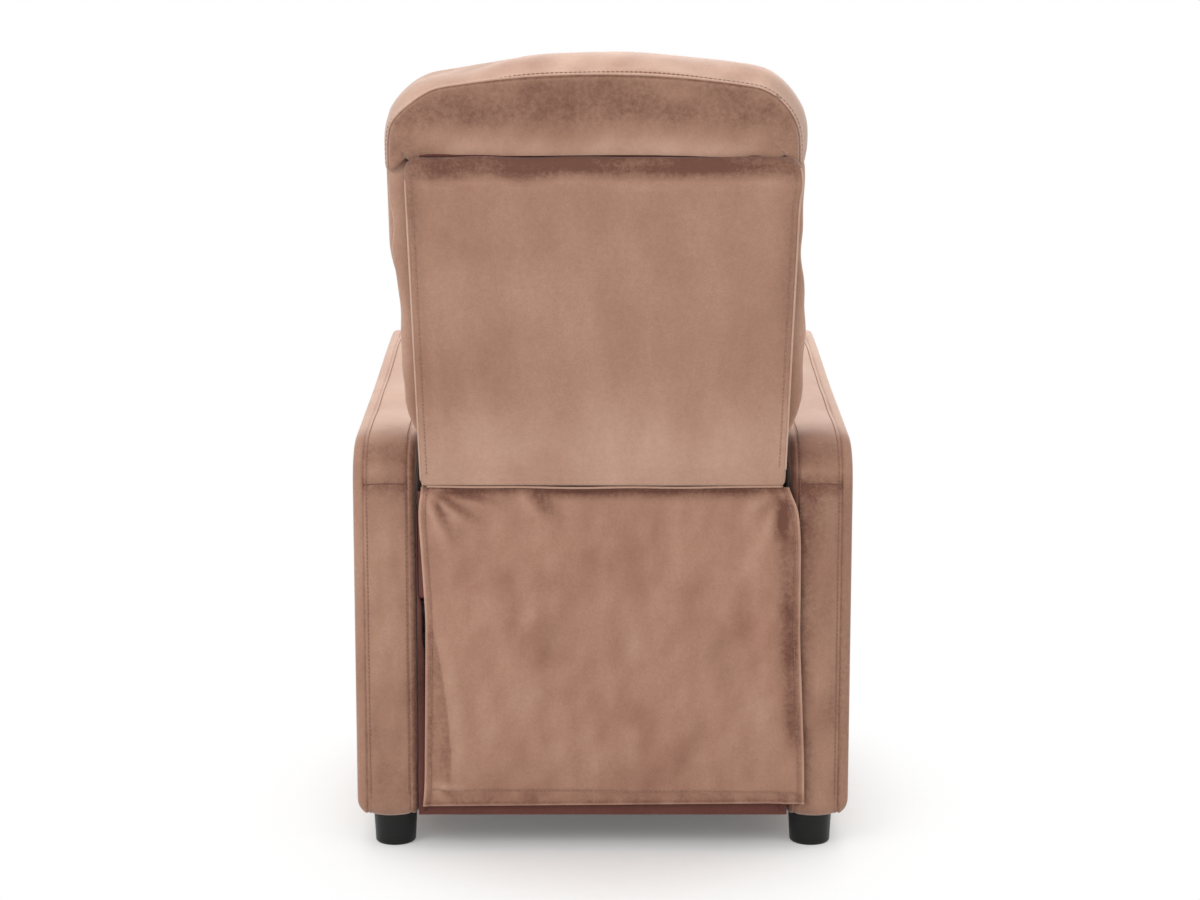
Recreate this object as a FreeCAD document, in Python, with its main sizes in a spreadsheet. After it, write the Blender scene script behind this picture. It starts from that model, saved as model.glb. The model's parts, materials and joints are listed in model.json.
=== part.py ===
import FreeCAD
import Part
import Sketcher
import math
import os

# Push-back recliner chair, in millimetres. X runs across the chair, +Y points to its rear and
# +Z up. The origin is on the floor under the middle of the chair. Depths are counted forward
# from the rear face of the arms, and heights up from the floor.

SIZES = {
    # Overall
    "chair_width": 640.0,
    "origin_setback": 254.6,
    # Feet
    "foot_height": 45.0,
    "foot_top_diameter": 58.0,
    "foot_bottom_diameter": 53.0,
    "foot_edge_radius": 4.0,
    "foot_side_inset": 44.0,
    "foot_end_inset": 42.0,
    "foot_screw_diameter": 8.0,
    "foot_screw_length": 30.0,
    # Arms
    "arm_width": 78.0,
    "arm_depth": 655.0,
    "arm_rear_height": 540.0,
    "arm_front_height": 630.0,
    "arm_rear_radius": 60.0,
    "arm_front_radius": 45.0,
    "arm_edge_radius": 13.0,
    "arm_frame_inset": 30.0,
    "arm_frame_height": 430.0,
    "arm_inner_padding": 6.0,
    "arm_outer_padding": 12.0,
    "arm_frame_border": 45.0,
    "arm_rail_extra": 22.0,
    # Rails between the arms
    "front_rail_depth": 505.0,
    "front_rail_thickness": 25.0,
    "front_rail_height": 40.0,
    "rear_rail_recess": 2.0,
    "rear_rail_thickness": 22.0,
    "rear_rail_lift": 2.0,
    "rear_rail_height": 65.0,
    "rail_bracket_leg": 24.0,
    "rail_bracket_length": 34.0,
    "rail_bracket_gauge": 3.0,
    "loop_strip_height": 38.0,
    "loop_strip_thickness": 2.2,
    # Rear flap
    "flap_width": 504.0,
    "flap_thickness": 2.4,
    "flap_bottom": 50.0,
    "flap_billow": 9.0,
    "flap_gap": 0.5,
    "flap_top_set": 7.0,
    # Steel, rivets and running clearances
    "steel_gauge": 4.0,
    "layer_gap": 1.0,
    "head_space": 4.0,
    "pin_diameter": 8.0,
    "head_diameter": 14.0,
    "head_thickness": 3.0,
    "pin_clearance": 0.05,
    "slot_clearance": 0.2,
    "end_play": 0.2,
    "link_half_width": 11.0,
    # Recline pivot and its drive
    "pivot_depth": 71.0,
    "pivot_height": 310.0,
    "drive_radius": 110.0,
    "recline_travel": 38.0,
    "seat_rise": 5.0,
    # Footrest linkage, placed in the seat's rest position
    "lift_depth": 441.0,
    "lift_height": 318.0,
    "lift_angle": 132.6,
    "lift_length": 170.0,
    "link_spread": 60.0,
    "toe_spread": 50.0,
    "reach_angle": 15.0,
    "reach_length": 240.0,
    "crank_length": 51.0,
    "tube_offset": 90.0,
    "tube_diameter": 22.0,
    "tube_wall": 1.5,
    # Side plates
    "front_glide_depth": 498.0,
    "front_glide_height": 318.0,
    "rear_glide_depth": 240.0,
    "rear_glide_height": 300.0,
    "glide_diameter": 16.0,
    "base_plate_half_height": 34.0,
    "seat_plate_half_height": 42.0,
    "seat_tail_half_height": 18.0,
    "seat_plate_drop": 10.0,
    "crank_slot_width": 12.0,
    "drive_slot_play": 0.8,
    "plate_bolt_setback": 80.0,
    "plate_bolt_rise": 8.0,
    "plate_bolt_front": 42.0,
    "pivot_diameter": 12.0,
    "pivot_head": 18.0,
    "stud_collar": 12.0,
    # Seat
    "seat_rail_width": 25.0,
    "seat_rail_bottom": 340.0,
    "seat_rail_top": 385.0,
    "seat_rail_rear": 172.0,
    "seat_rail_front": 590.0,
    "cross_rail_thickness": 22.0,
    "front_cross_bottom": 352.0,
    "seat_bolt_lift": 20.0,
    "seat_bolt_setback": 60.0,
    "webbing_width": 50.0,
    "seat_webbing_pitch": 80.0,
    "webbing_thickness": 2.0,
    "seat_half_width": 236.0,
    "seat_cushion_rear": 170.0,
    "seat_cushion_front": 650.0,
    "seat_cushion_height": 80.0,
    "seat_crown": 14.0,
    "soft_gap": 0.4,
    "pad_edge": 12.0,
    # Footrest
    "footrest_rear": 580.0,
    "footrest_board": 18.0,
    "footrest_cushion": 50.0,
    "footrest_bottom": 75.0,
    "footrest_top": 345.0,
    "footrest_half_width": 235.0,
    "footrest_board_inset": 12.0,
    "footrest_bracket_half": 12.0,
    "footrest_flange": 24.0,
    "footrest_crown": 8.0,
    "footrest_screw_length": 12.0,
    # Backrest, in a frame at the pivot that leans with the back
    "back_lean": 16.0,
    "back_offset": 29.4,
    "panel_thickness": 12.0,
    "panel_bottom": 191.5,
    "panel_top": 630.0,
    "panel_bottom_width": 470.0,
    "panel_top_width": 482.0,
    "panel_corner": 40.0,
    "panel_edge": 5.0,
    "post_outer": 230.0,
    "post_width": 33.0,
    "post_thickness": 35.0,
    "post_bottom": 35.0,
    "post_top": 625.0,
    "back_rail_height": 50.0,
    "back_rail_low": 60.0,
    "back_rail_mid": 330.0,
    "back_rail_high": 575.0,
    "head_board_thickness": 12.0,
    "head_board_top": 702.0,
    "head_board_half": 195.0,
    "bracket_reach": 150.0,
    "bracket_bolt_low": 75.0,
    "back_bracket_half": 14.0,
    "head_board_setback": 8.0,
    "back_webbing_first": 130.0,
    "back_webbing_pitch": 80.0,
    # Back cushions
    "lumbar_bottom": 95.0,
    "lumbar_top": 268.0,
    "middle_top": 450.0,
    "shoulder_top": 628.0,
    "head_top": 734.0,
    "head_ridge_setback": 92.0,
    "head_ridge_rise": 5.0,
    "head_front_drop": 28.0,
    "cushion_gap": 3.0,
    "low_half_width": 236.0,
    "high_half_width": 255.0,
    "lumbar_depth": 150.0,
    "middle_depth": 142.0,
    "shoulder_depth": 138.0,
    "head_depth": 162.0,
    "head_rear": 9.0,
    "head_corner": 84.0,
    "head_arch": 12.0,
    "cushion_crown": 16.0,
    "cushion_edge": 26.0,
    "side_pad_rear": 14.0,
    "side_pad_inset": 3.0,
    # Screws into wood
    "wood_screw_diameter": 6.0,
    "wood_screw_head": 12.0,
    "wood_screw_cap": 2.5,
    "wood_screw_length": 24.0,
}

DOC = FreeCAD.newDocument("recliner")
SHEET = DOC.addObject("Spreadsheet::Sheet", "sizes")
for row, (alias, number) in enumerate(SIZES.items(), start=1):
    SHEET.set(f"A{row}", alias)
    SHEET.set(f"B{row}", str(number))
    SHEET.setAlias(f"B{row}", alias)
DOC.recompute()

NODES = {}


class Size:
    """A size that knows its number and the expression that gives it from the sheet."""

    def __init__(self, value, text):
        self.value = float(value)
        self.text = text

    @staticmethod
    def of(other):
        return other if isinstance(other, Size) else Size(other, f"({float(other)})")

    def join(self, sign, other, value):
        return Size(value, f"({self.text} {sign} {other.text})")

    def __add__(self, other):
        other = Size.of(other)
        return self.join("+", other, self.value + other.value)

    def __sub__(self, other):
        other = Size.of(other)
        return self.join("-", other, self.value - other.value)

    def __mul__(self, other):
        other = Size.of(other)
        return self.join("*", other, self.value * other.value)

    def __truediv__(self, other):
        other = Size.of(other)
        return self.join("/", other, self.value / other.value)

    def __radd__(self, other):
        return Size.of(other) + self

    def __rsub__(self, other):
        return Size.of(other) - self

    def __rmul__(self, other):
        return Size.of(other) * self

    def __neg__(self):
        return Size.of(0) - self


def cell(alias):
    """A driving size of the sheet."""
    return Size(SHEET.get(alias), f"sizes.{alias}")


def cos(angle):
    return Size(math.cos(math.radians(angle.value)), f"cos({angle.text})")


def sin(angle):
    return Size(math.sin(math.radians(angle.value)), f"sin({angle.text})")


def bind(item, path, size):
    """Tie a property of the document to the sheet."""
    item.setExpression(path, Size.of(size).text)


def from_rear(depth):
    """The Y of a point that lies this far forward of the arms' rear face."""
    return cell("origin_setback") - depth


def node(label, item):
    """Name a finished sub-part, which gives its file its name."""
    item.Label = label
    NODES[label] = item
    return item


def block(name, x, y, z):
    """A rectangular solid between pairs of sizes along X, Y and Z."""
    item = DOC.addObject("Part::Box", name)
    for prop, axis, (low, high) in zip(("Length", "Width", "Height"), "xyz", (x, y, z)):
        bind(item, prop, Size.of(high) - low)
        bind(item, f"Placement.Base.{axis}", low)
    return item


TURNS = {
    "x": FreeCAD.Rotation(FreeCAD.Vector(0, 1, 0), 90),
    "y": FreeCAD.Rotation(FreeCAD.Vector(1, 0, 0), -90),
    "z": FreeCAD.Rotation(),
}


def rod(name, axis, start, length, diameter):
    """A cylinder that starts at a point and runs along an axis."""
    item = DOC.addObject("Part::Cylinder", name)
    item.Placement = FreeCAD.Placement(FreeCAD.Vector(), TURNS[axis])
    bind(item, "Radius", Size.of(diameter) / 2)
    bind(item, "Height", length)
    for along, place in zip("xyz", start):
        bind(item, f"Placement.Base.{along}", place)
    return item


def fuse(name, *items):
    item = DOC.addObject("Part::MultiFuse", name)
    item.Shapes = list(items)
    item.Refine = True
    return item


def cut(name, base, *tools):
    tool = tools[0] if len(tools) == 1 else compound(f"{name}_tools", *tools)
    item = DOC.addObject("Part::Cut", name)
    item.Base = base
    item.Tool = tool
    return item


def compound(name, *items):
    item = DOC.addObject("Part::Compound", name)
    item.Links = list(items)
    return item


def mirrored(item):
    """The same piece on the chair's other side."""
    twin = DOC.addObject("Part::Mirroring", f"{item.Name}_right")
    twin.Source = item
    twin.Normal = FreeCAD.Vector(1, 0, 0)
    return twin


def pair(name, *items):
    """Pieces of the left side together with their mirror images, as one group."""
    return compound(name, *items, *[mirrored(item) for item in items])


def lean(item):
    """Stand a piece that is drawn in the backrest's own frame at the pivot."""
    turn = FreeCAD.Rotation(FreeCAD.Vector(-1, 0, 0), SIZES["back_lean"])
    item.Placement = FreeCAD.Placement(FreeCAD.Vector(), turn)
    bind(item, "Placement.Rotation.Angle", cell("back_lean"))
    bind(item, "Placement.Base.y", from_rear(cell("pivot_depth")))
    bind(item, "Placement.Base.z", cell("pivot_height"))
    return item


# Sketches

def new_sketch(body, name, role):
    sketch = body.newObject("Sketcher::SketchObject", name)
    plane = [item for item in body.Origin.OriginFeatures if item.Role == role][0]
    sketch.AttachmentSupport = [(plane, "")]
    sketch.MapMode = "FlatFace"
    return sketch


def dimension(sketch, kind, *args):
    """Add a measured constraint, whose last argument is a size, and tie it to the sheet."""
    size = Size.of(args[-1])
    text = size.text
    ends = args[:-1]
    if size.value < 0:
        ends = ends[2:] + ends[:2]
        text = f"-({text})"
    index = sketch.addConstraint(Sketcher.Constraint(kind, *ends, abs(size.value)))
    sketch.setExpression(f"Constraints[{index}]", text)


def pin(sketch, geo, point, place):
    """Hold a point of the sketch at a place counted from the sketch's origin."""
    for kind, line, size in zip(("DistanceX", "DistanceY"), (-2, -1), place):
        size = Size.of(size)
        if abs(size.value) < 1e-6:
            sketch.addConstraint(Sketcher.Constraint("PointOnObject", geo, point, line))
        else:
            dimension(sketch, kind, -1, 1, geo, point, size)


def at(place):
    return FreeCAD.Vector(Size.of(place[0]).value, Size.of(place[1]).value, 0)


def draw_hole(sketch, centre, diameter):
    radius = Size.of(diameter) / 2
    circle = Part.Circle(at(centre), FreeCAD.Vector(0, 0, 1), radius.value)
    geo = sketch.addGeometry(circle)
    pin(sketch, geo, 3, centre)
    dimension(sketch, "Radius", geo, radius)


def draw_bar(sketch, start, end, radius):
    """A straight bar with round ends, from one centre to another."""
    first, last = at(start), at(end)
    radius = Size.of(radius)
    way = last - first
    angle = math.atan2(way.y, way.x)
    side = FreeCAD.Vector(-math.sin(angle), math.cos(angle), 0) * radius.value
    up = FreeCAD.Vector(0, 0, 1)
    arcs = []
    for centre, begin in ((first, angle + math.pi / 2), (last, angle - math.pi / 2)):
        circle = Part.Circle(centre, up, radius.value)
        arcs.append(sketch.addGeometry(Part.ArcOfCircle(circle, begin, begin + math.pi)))
    low = sketch.addGeometry(Part.LineSegment(first - side, last - side))
    high = sketch.addGeometry(Part.LineSegment(last + side, first + side))
    for one, end_one, two, end_two in ((arcs[0], 2, low, 1), (low, 2, arcs[1], 1),
                                       (arcs[1], 2, high, 1), (high, 2, arcs[0], 1)):
        sketch.addConstraint(Sketcher.Constraint("Tangent", one, end_one, two, end_two))
    pin(sketch, arcs[0], 3, start)
    pin(sketch, arcs[1], 3, end)
    sketch.addConstraint(Sketcher.Constraint("Equal", arcs[0], arcs[1]))
    dimension(sketch, "Radius", arcs[0], radius)


def draw_polygon(sketch, corners):
    """A closed outline of straight lines through corners that are each held in place."""
    points = [at(corner) for corner in corners]
    geos = []
    for first, last in zip(points, points[1:] + points[:1]):
        geos.append(sketch.addGeometry(Part.LineSegment(first, last)))
    for geo, following in zip(geos, geos[1:] + geos[:1]):
        sketch.addConstraint(Sketcher.Constraint("Coincident", geo, 2, following, 1))
    for geo, corner in zip(geos, corners):
        pin(sketch, geo, 1, corner)


def pad(body, sketch, length):
    feature = body.newObject("PartDesign::Pad", f"{sketch.Name}_pad")
    feature.Profile = sketch
    bind(feature, "Length", length)
    return feature


def pocket_through(body, sketch):
    """Cut a sketch through everything on the positive side of its plane."""
    feature = body.newObject("PartDesign::Pocket", f"{sketch.Name}_pocket")
    feature.Profile = sketch
    feature.Type = "ThroughAll"
    feature.Reversed = True
    return feature


def round_edges(body, base, radius, wanted):
    """Fillet the edges of a feature that pass a test on their two end points."""
    DOC.recompute()
    names = []
    for index, edge in enumerate(base.Shape.Edges, start=1):
        if len(edge.Vertexes) == 2 and wanted(*[vertex.Point for vertex in edge.Vertexes]):
            names.append(f"Edge{index}")
    feature = body.newObject("PartDesign::Fillet", f"{base.Name}_round")
    feature.Base = (base, names)
    bind(feature, "Radius", radius)
    return feature


def side_plate(name, inner, bars, holes=(), slots=()):
    """A flat steel piece that stands beside the seat, its inner face at the given X.

    Bars, holes and slots are given by depth and height. Bars are added together, then
    the holes and slots are cut through them.
    """
    body = DOC.addObject("PartDesign::Body", name)
    bind(body, "Placement.Base.x", inner)
    bind(body, "Placement.Base.y", cell("origin_setback"))
    for number, (start, end, radius) in enumerate(bars):
        sketch = new_sketch(body, f"{name}_bar{number}", "YZ_Plane")
        draw_bar(sketch, (-start[0], start[1]), (-end[0], end[1]), radius)
        pad(body, sketch, cell("steel_gauge"))
    sketch = new_sketch(body, f"{name}_holes", "YZ_Plane")
    for centre, diameter in holes:
        draw_hole(sketch, (-centre[0], centre[1]), diameter)
    for start, end, width in slots:
        draw_bar(sketch, (-start[0], start[1]), (-end[0], end[1]), Size.of(width) / 2)
    pocket_through(body, sketch)
    return body


def pin_along(name, place, spans):
    """A turned pin across the chair, of stretches (from X, to X, diameter), at a depth and height."""
    stretches = []
    for number, (begin, end, diameter) in enumerate(spans):
        start = (begin, from_rear(place[0]), place[1])
        stretches.append(rod(f"{name}_{number}", "x", start, end - begin, diameter))
    return fuse(name, *stretches)


def rivet(name, place, inner, outer):
    """A rivet through two plates, with a head on each side and a little end play."""
    play = cell("end_play")
    head = cell("head_thickness")
    return pin_along(name, place, (
        (inner - play, outer + play, cell("pin_diameter")),
        (inner - play - head, inner - play, cell("head_diameter")),
        (outer + play, outer + play + head, cell("head_diameter")),
    ))


def wood_screw(name, axis, start, way, length=None):
    """A screw whose head stands on a surface and whose shank runs into the wood behind it.

    The start is a point on the surface, and way is +1 or -1 along the axis into the wood.
    """
    index = "xyz".index(axis)
    cap = cell("wood_screw_cap")
    length = length or cell("wood_screw_length")
    head_start, shank_start = list(start), list(start)
    head_start[index] = start[index] - cap if way > 0 else start[index]
    shank_start[index] = start[index] if way > 0 else start[index] - length
    head = rod(f"{name}_head", axis, head_start, cap, cell("wood_screw_head"))
    shank = rod(f"{name}_shank", axis, shank_start, length, cell("wood_screw_diameter"))
    return fuse(name, head, shank)


# Places that several pieces share, as (depth, height)

HALF = cell("chair_width") / 2
INNER = HALF - cell("arm_width")
GAUGE = cell("steel_gauge")
GAP = cell("layer_gap")
BASE_PLATE_X = INNER - GAUGE
LINK_X = BASE_PLATE_X - cell("head_space") - GAUGE
SEAT_PLATE_X = LINK_X - GAP - GAUGE
FOOT_PLATE_X = SEAT_PLATE_X - GAP - GAUGE
FIT = cell("pin_diameter") + cell("pin_clearance") * 2
BOLT_FIT = cell("wood_screw_diameter") + cell("pin_clearance") * 2

PIVOT = (cell("pivot_depth"), cell("pivot_height"))


def along(place, length, angle):
    """A place at a distance and an angle above the forward direction."""
    return (place[0] + length * cos(angle), place[1] + length * sin(angle))


HALF_TURN = cell("recline_travel") / 2
DRIVE = (PIVOT[0] - cell("drive_radius") * sin(HALF_TURN),
         PIVOT[1] - cell("drive_radius") * cos(HALF_TURN))
SEAT_TRAVEL = cell("drive_radius") * sin(HALF_TURN) * 2 / cos(cell("seat_rise"))
DOWN = -cell("lift_angle")
LIFT = (cell("lift_depth"), cell("lift_height"))
GUIDE = along(LIFT, -cell("link_spread"), cell("reach_angle"))
LIFT_END = along(LIFT, cell("lift_length"), DOWN)
GUIDE_END = along(GUIDE, cell("lift_length"), DOWN)
LIFT_TIP = along(LIFT_END, cell("toe_spread"), DOWN)
CRANK = along(LIFT, -cell("crank_length"), DOWN)
KNEE = along(LIFT_END, cell("reach_length"), cell("reach_angle"))
TOE = along(LIFT_TIP, cell("reach_length"), cell("reach_angle"))
TUBE = along(LIFT, cell("tube_offset"), DOWN)
FRONT_GLIDE = (cell("front_glide_depth"), cell("front_glide_height"))
REAR_GLIDE = (cell("rear_glide_depth"), cell("rear_glide_height"))


# Feet: turned plastic cylinders with a slight draft, each held by a screw into the arm frame

def foot(name, x, y):
    body = DOC.addObject("PartDesign::Body", name)
    sketch = new_sketch(body, f"{name}_profile", "XZ_Plane")
    top = cell("foot_top_diameter") / 2
    bottom = cell("foot_bottom_diameter") / 2
    height = cell("foot_height")
    draw_polygon(sketch, ((0, 0), (bottom, 0), (top, height), (0, height)))
    turned = body.newObject("PartDesign::Revolution", f"{name}_turned")
    turned.Profile = sketch
    turned.ReferenceAxis = (sketch, ["V_Axis"])
    turned.Angle = 360
    DOC.recompute()
    names = []
    for index, edge in enumerate(turned.Shape.Edges, start=1):
        if edge.BoundBox.ZMax < 0.001 and edge.BoundBox.XLength > 1:
            names.append(f"Edge{index}")
    rounded = body.newObject("PartDesign::Fillet", f"{name}_round")
    rounded.Base = (turned, names)
    bind(rounded, "Radius", cell("foot_edge_radius"))
    bind(body, "Placement.Base.x", x)
    bind(body, "Placement.Base.y", y)
    return body


FOOT_X = HALF - cell("foot_side_inset")
FOOT_Y = (from_rear(cell("foot_end_inset")), from_rear(cell("arm_depth") - cell("foot_end_inset")))
node("feet", pair("feet_group", foot("foot_rear", FOOT_X, FOOT_Y[0]),
                  foot("foot_front", FOOT_X, FOOT_Y[1])))
FOOT_SCREWS = []
for index, y in enumerate(FOOT_Y):
    start = (FOOT_X, y, cell("foot_height"))
    screw = rod(f"foot_screw_{index}", "z", start, cell("foot_screw_length"),
                cell("foot_screw_diameter"))
    FOOT_SCREWS.append(screw)
node("foot_screws", pair("foot_screw_group", *FOOT_SCREWS))


# Arms: a padded cover over a wooden frame that goes in from below

def arm_cover(name):
    body = DOC.addObject("PartDesign::Body", name)
    sketch = new_sketch(body, f"{name}_profile", "YZ_Plane")
    front = -cell("arm_depth")
    floor = cell("foot_height")
    draw_polygon(sketch, ((0, floor), (0, cell("arm_rear_height")),
                          (front, cell("arm_front_height")), (front, floor)))
    solid = pad(body, sketch, cell("arm_width"))
    top = (SIZES["foot_height"] + SIZES["arm_rear_height"]) / 2

    def across(one, two):
        return abs(one.x - two.x) > 1 and one.z > top

    rear = round_edges(body, solid, cell("arm_rear_radius"),
                       lambda one, two: across(one, two) and one.y > front.value / 2)
    crown = round_edges(body, rear, cell("arm_front_radius"),
                        lambda one, two: across(one, two) and abs(one.y - front.value) < 0.01
                        and abs(one.z - SIZES["arm_front_height"]) < 0.01)
    round_edges(body, crown, cell("arm_edge_radius"),
                lambda one, two: abs(one.x - two.x) < 0.01 and max(one.z, two.z) > top)
    bind(body, "Placement.Base.x", INNER)
    bind(body, "Placement.Base.y", cell("origin_setback"))
    return body


CAVITY_X = (INNER + cell("arm_inner_padding"), HALF - cell("arm_outer_padding"))
CAVITY_Y = (from_rear(cell("arm_depth") - cell("arm_frame_inset")),
            from_rear(cell("arm_frame_inset")))
CAVITY_Z = (cell("foot_height"), cell("foot_height") + cell("arm_frame_height"))
LEFT_ARM = cut("arm_left_hollow", arm_cover("arm_left"),
               block("arm_left_cavity", CAVITY_X, CAVITY_Y, CAVITY_Z))
node("arm_cover_left", LEFT_ARM)
node("arm_cover_right", mirrored(LEFT_ARM))


def arm_frame(name):
    """A frame of boards on edge, with a middle rail behind the base plate."""
    border = cell("arm_frame_border")
    half = cell("base_plate_half_height")
    outer = block(f"{name}_outer", CAVITY_X, CAVITY_Y, CAVITY_Z)
    wide = (CAVITY_X[0] - 1, CAVITY_X[1] + 1)
    deep = (CAVITY_Y[0] + border, CAVITY_Y[1] - border)
    low = block(f"{name}_low_window", wide, deep, (CAVITY_Z[0] + border, PIVOT[1] - half))
    high = block(f"{name}_high_window", wide, deep,
                 (PIVOT[1] + half + cell("arm_rail_extra"), CAVITY_Z[1] - border))
    return cut(name, outer, low, high)


node("arm_frames", pair("arm_frame_group", arm_frame("arm_frame")))

# Rails that tie the two arms together, on steel angles

RAIL_FLOOR = cell("foot_height")
FRONT_RAIL_Y = (from_rear(cell("front_rail_depth") + cell("front_rail_thickness")),
                from_rear(cell("front_rail_depth")))
FRONT_RAIL_TOP = RAIL_FLOOR + cell("front_rail_height")
node("front_rail", block("front_rail_board", (-INNER, INNER), FRONT_RAIL_Y,
                         (RAIL_FLOOR, FRONT_RAIL_TOP)))
REAR_RAIL_Y = (from_rear(cell("rear_rail_recess") + cell("rear_rail_thickness")),
               from_rear(cell("rear_rail_recess")))
REAR_RAIL_Z = (RAIL_FLOOR + cell("rear_rail_lift"),
               RAIL_FLOOR + cell("rear_rail_lift") + cell("rear_rail_height"))
node("rear_rail", block("rear_rail_board", (-INNER, INNER), REAR_RAIL_Y, REAR_RAIL_Z))
STRIP_Z = (REAR_RAIL_Z[1] - cell("loop_strip_height"), REAR_RAIL_Z[1])
node("loop_strip", block("loop_strip_band", (-INNER, INNER),
                         (REAR_RAIL_Y[1], REAR_RAIL_Y[1] + cell("loop_strip_thickness")), STRIP_Z))


def rail_angle(name, y, way, bottom):
    """A steel angle between the arm and a rail face, standing on the side given by way."""
    leg = cell("rail_bracket_leg")
    gauge = cell("rail_bracket_gauge")
    tall = (bottom, bottom + cell("rail_bracket_length"))
    reach = (y, y + leg) if way > 0 else (y - leg, y)
    flat = (y, y + gauge) if way > 0 else (y - gauge, y)
    on_arm = block(f"{name}_arm_leg", (INNER - gauge, INNER), reach, tall)
    on_rail = block(f"{name}_rail_leg", (INNER - leg, INNER), flat, tall)
    middle = (leg + gauge) / 2
    height = bottom + cell("rail_bracket_length") / 2
    arm_hole = rod(f"{name}_arm_hole", "x", (INNER - leg / 2, y + middle * way, height),
                   leg / 2, BOLT_FIT)
    rail_hole = rod(f"{name}_rail_hole", "y",
                    (INNER - middle, y if way > 0 else y - leg / 2, height), leg / 2, BOLT_FIT)
    return cut(name, fuse(f"{name}_legs", on_arm, on_rail), arm_hole, rail_hole)


ANGLE_BOTTOM = RAIL_FLOOR + cell("rail_bracket_gauge")
node("rail_brackets", pair("rail_bracket_group",
                           rail_angle("front_angle", FRONT_RAIL_Y[1], 1, ANGLE_BOTTOM),
                           rail_angle("rear_angle", REAR_RAIL_Y[0], -1, ANGLE_BOTTOM)))
SCREW_Z = ANGLE_BOTTOM + cell("rail_bracket_length") / 2
LEG_MIDDLE = (cell("rail_bracket_leg") + cell("rail_bracket_gauge")) / 2
ANGLE_FACE = INNER - cell("rail_bracket_gauge")
RAIL_SCREWS = [
    wood_screw("front_arm_screw", "x", (ANGLE_FACE, FRONT_RAIL_Y[1] + LEG_MIDDLE, SCREW_Z), 1),
    wood_screw("rear_arm_screw", "x", (ANGLE_FACE, REAR_RAIL_Y[0] - LEG_MIDDLE, SCREW_Z), 1),
    wood_screw("front_rail_screw", "y",
               (INNER - LEG_MIDDLE, FRONT_RAIL_Y[1] + cell("rail_bracket_gauge"), SCREW_Z), -1),
    wood_screw("rear_rail_screw", "y",
               (INNER - LEG_MIDDLE, REAR_RAIL_Y[0] - cell("rail_bracket_gauge"), SCREW_Z), 1),
]
node("rail_screws", pair("rail_screw_group", *RAIL_SCREWS))

# Base plates: bolted to the arms, with the slots that carry the seat and lift the footrest

LIFT_MIDDLE = along((LIFT[0] + SEAT_TRAVEL * cos(cell("seat_rise")) / 2,
                     LIFT[1] + SEAT_TRAVEL * sin(cell("seat_rise")) / 2),
                    cell("crank_length"), 225 - cell("lift_angle"))
CRANK_SLOT = ((LIFT_MIDDLE[0], CRANK[1] - cell("slot_clearance")),
              (LIFT_MIDDLE[0], LIFT_MIDDLE[1] + cell("slot_clearance")),
              cell("crank_slot_width"))
GLIDE_WIDTH = cell("glide_diameter") + cell("slot_clearance") * 2
GLIDE_SLOTS = [(place, along(place, SEAT_TRAVEL, cell("seat_rise")), GLIDE_WIDTH)
               for place in (FRONT_GLIDE, REAR_GLIDE)]
PLATE_FRONT = along(FRONT_GLIDE, SEAT_TRAVEL, cell("seat_rise"))
PLATE_BOLTS = [(PIVOT[0] + cell("plate_bolt_setback"), PIVOT[1] + cell("plate_bolt_rise")),
               (GUIDE[0] + cell("plate_bolt_rise"), LIFT[1] + cell("link_half_width") * 1.6),
               (FRONT_GLIDE[0] + cell("plate_bolt_front"), FRONT_GLIDE[1] + GLIDE_WIDTH * 1.7)]
PIVOT_FIT = cell("pivot_diameter") + cell("pin_clearance") * 2
node("base_plates", pair("base_plate_pair", side_plate(
    "base_plate", BASE_PLATE_X,
    bars=((PIVOT, REAR_GLIDE, cell("base_plate_half_height")),
          (REAR_GLIDE, PLATE_FRONT, cell("base_plate_half_height")),
          (CRANK_SLOT[0], CRANK_SLOT[1], cell("crank_slot_width") * 2)),
    holes=[(PIVOT, PIVOT_FIT)] + [(place, BOLT_FIT) for place in PLATE_BOLTS],
    slots=GLIDE_SLOTS + [CRANK_SLOT])))
node("plate_bolts", pair("plate_bolt_pair", *[
    wood_screw(f"plate_bolt_{index}", "x", (BASE_PLATE_X, from_rear(place[0]), place[1]), 1)
    for index, place in enumerate(PLATE_BOLTS)]))
PLAY = cell("end_play")
LINK_OUTER = LINK_X + GAUGE
node("back_pivot_studs", pair("back_pivot_pair", pin_along("back_pivot", PIVOT, (
    (LINK_X - PLAY - cell("head_thickness"), LINK_X - PLAY, cell("pivot_head")),
    (LINK_X - PLAY, INNER, cell("pivot_diameter")),
    (LINK_OUTER + PLAY, BASE_PLATE_X, cell("pivot_head"))))))

# Footrest linkage: two parallelograms side by side, driven by the crank end of the lift link

LINK_END = cell("link_half_width")
node("lift_links", pair("lift_link_pair", side_plate(
    "lift_link", LINK_X, bars=((CRANK, LIFT_TIP, LINK_END),),
    holes=[(place, FIT) for place in (CRANK, LIFT, LIFT_END, LIFT_TIP)])))
node("guide_links", pair("guide_link_pair", side_plate(
    "guide_link", LINK_X, bars=((GUIDE, GUIDE_END, LINK_END),),
    holes=[(place, FIT) for place in (GUIDE, GUIDE_END)])))
node("reach_links", pair("reach_link_pair", side_plate(
    "reach_link", SEAT_PLATE_X, bars=((GUIDE_END, KNEE, LINK_END),),
    holes=[(place, FIT) for place in (GUIDE_END, LIFT_END, KNEE)])))
node("toe_links", pair("toe_link_pair", side_plate(
    "toe_link", SEAT_PLATE_X, bars=((LIFT_TIP, TOE, LINK_END),),
    holes=[(place, FIT) for place in (LIFT_TIP, TOE)])))
node("lift_rivets", pair("lift_rivet_pair",
                         rivet("lift_end_rivet", LIFT_END, SEAT_PLATE_X, LINK_OUTER),
                         rivet("lift_tip_rivet", LIFT_TIP, SEAT_PLATE_X, LINK_OUTER)))
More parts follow.
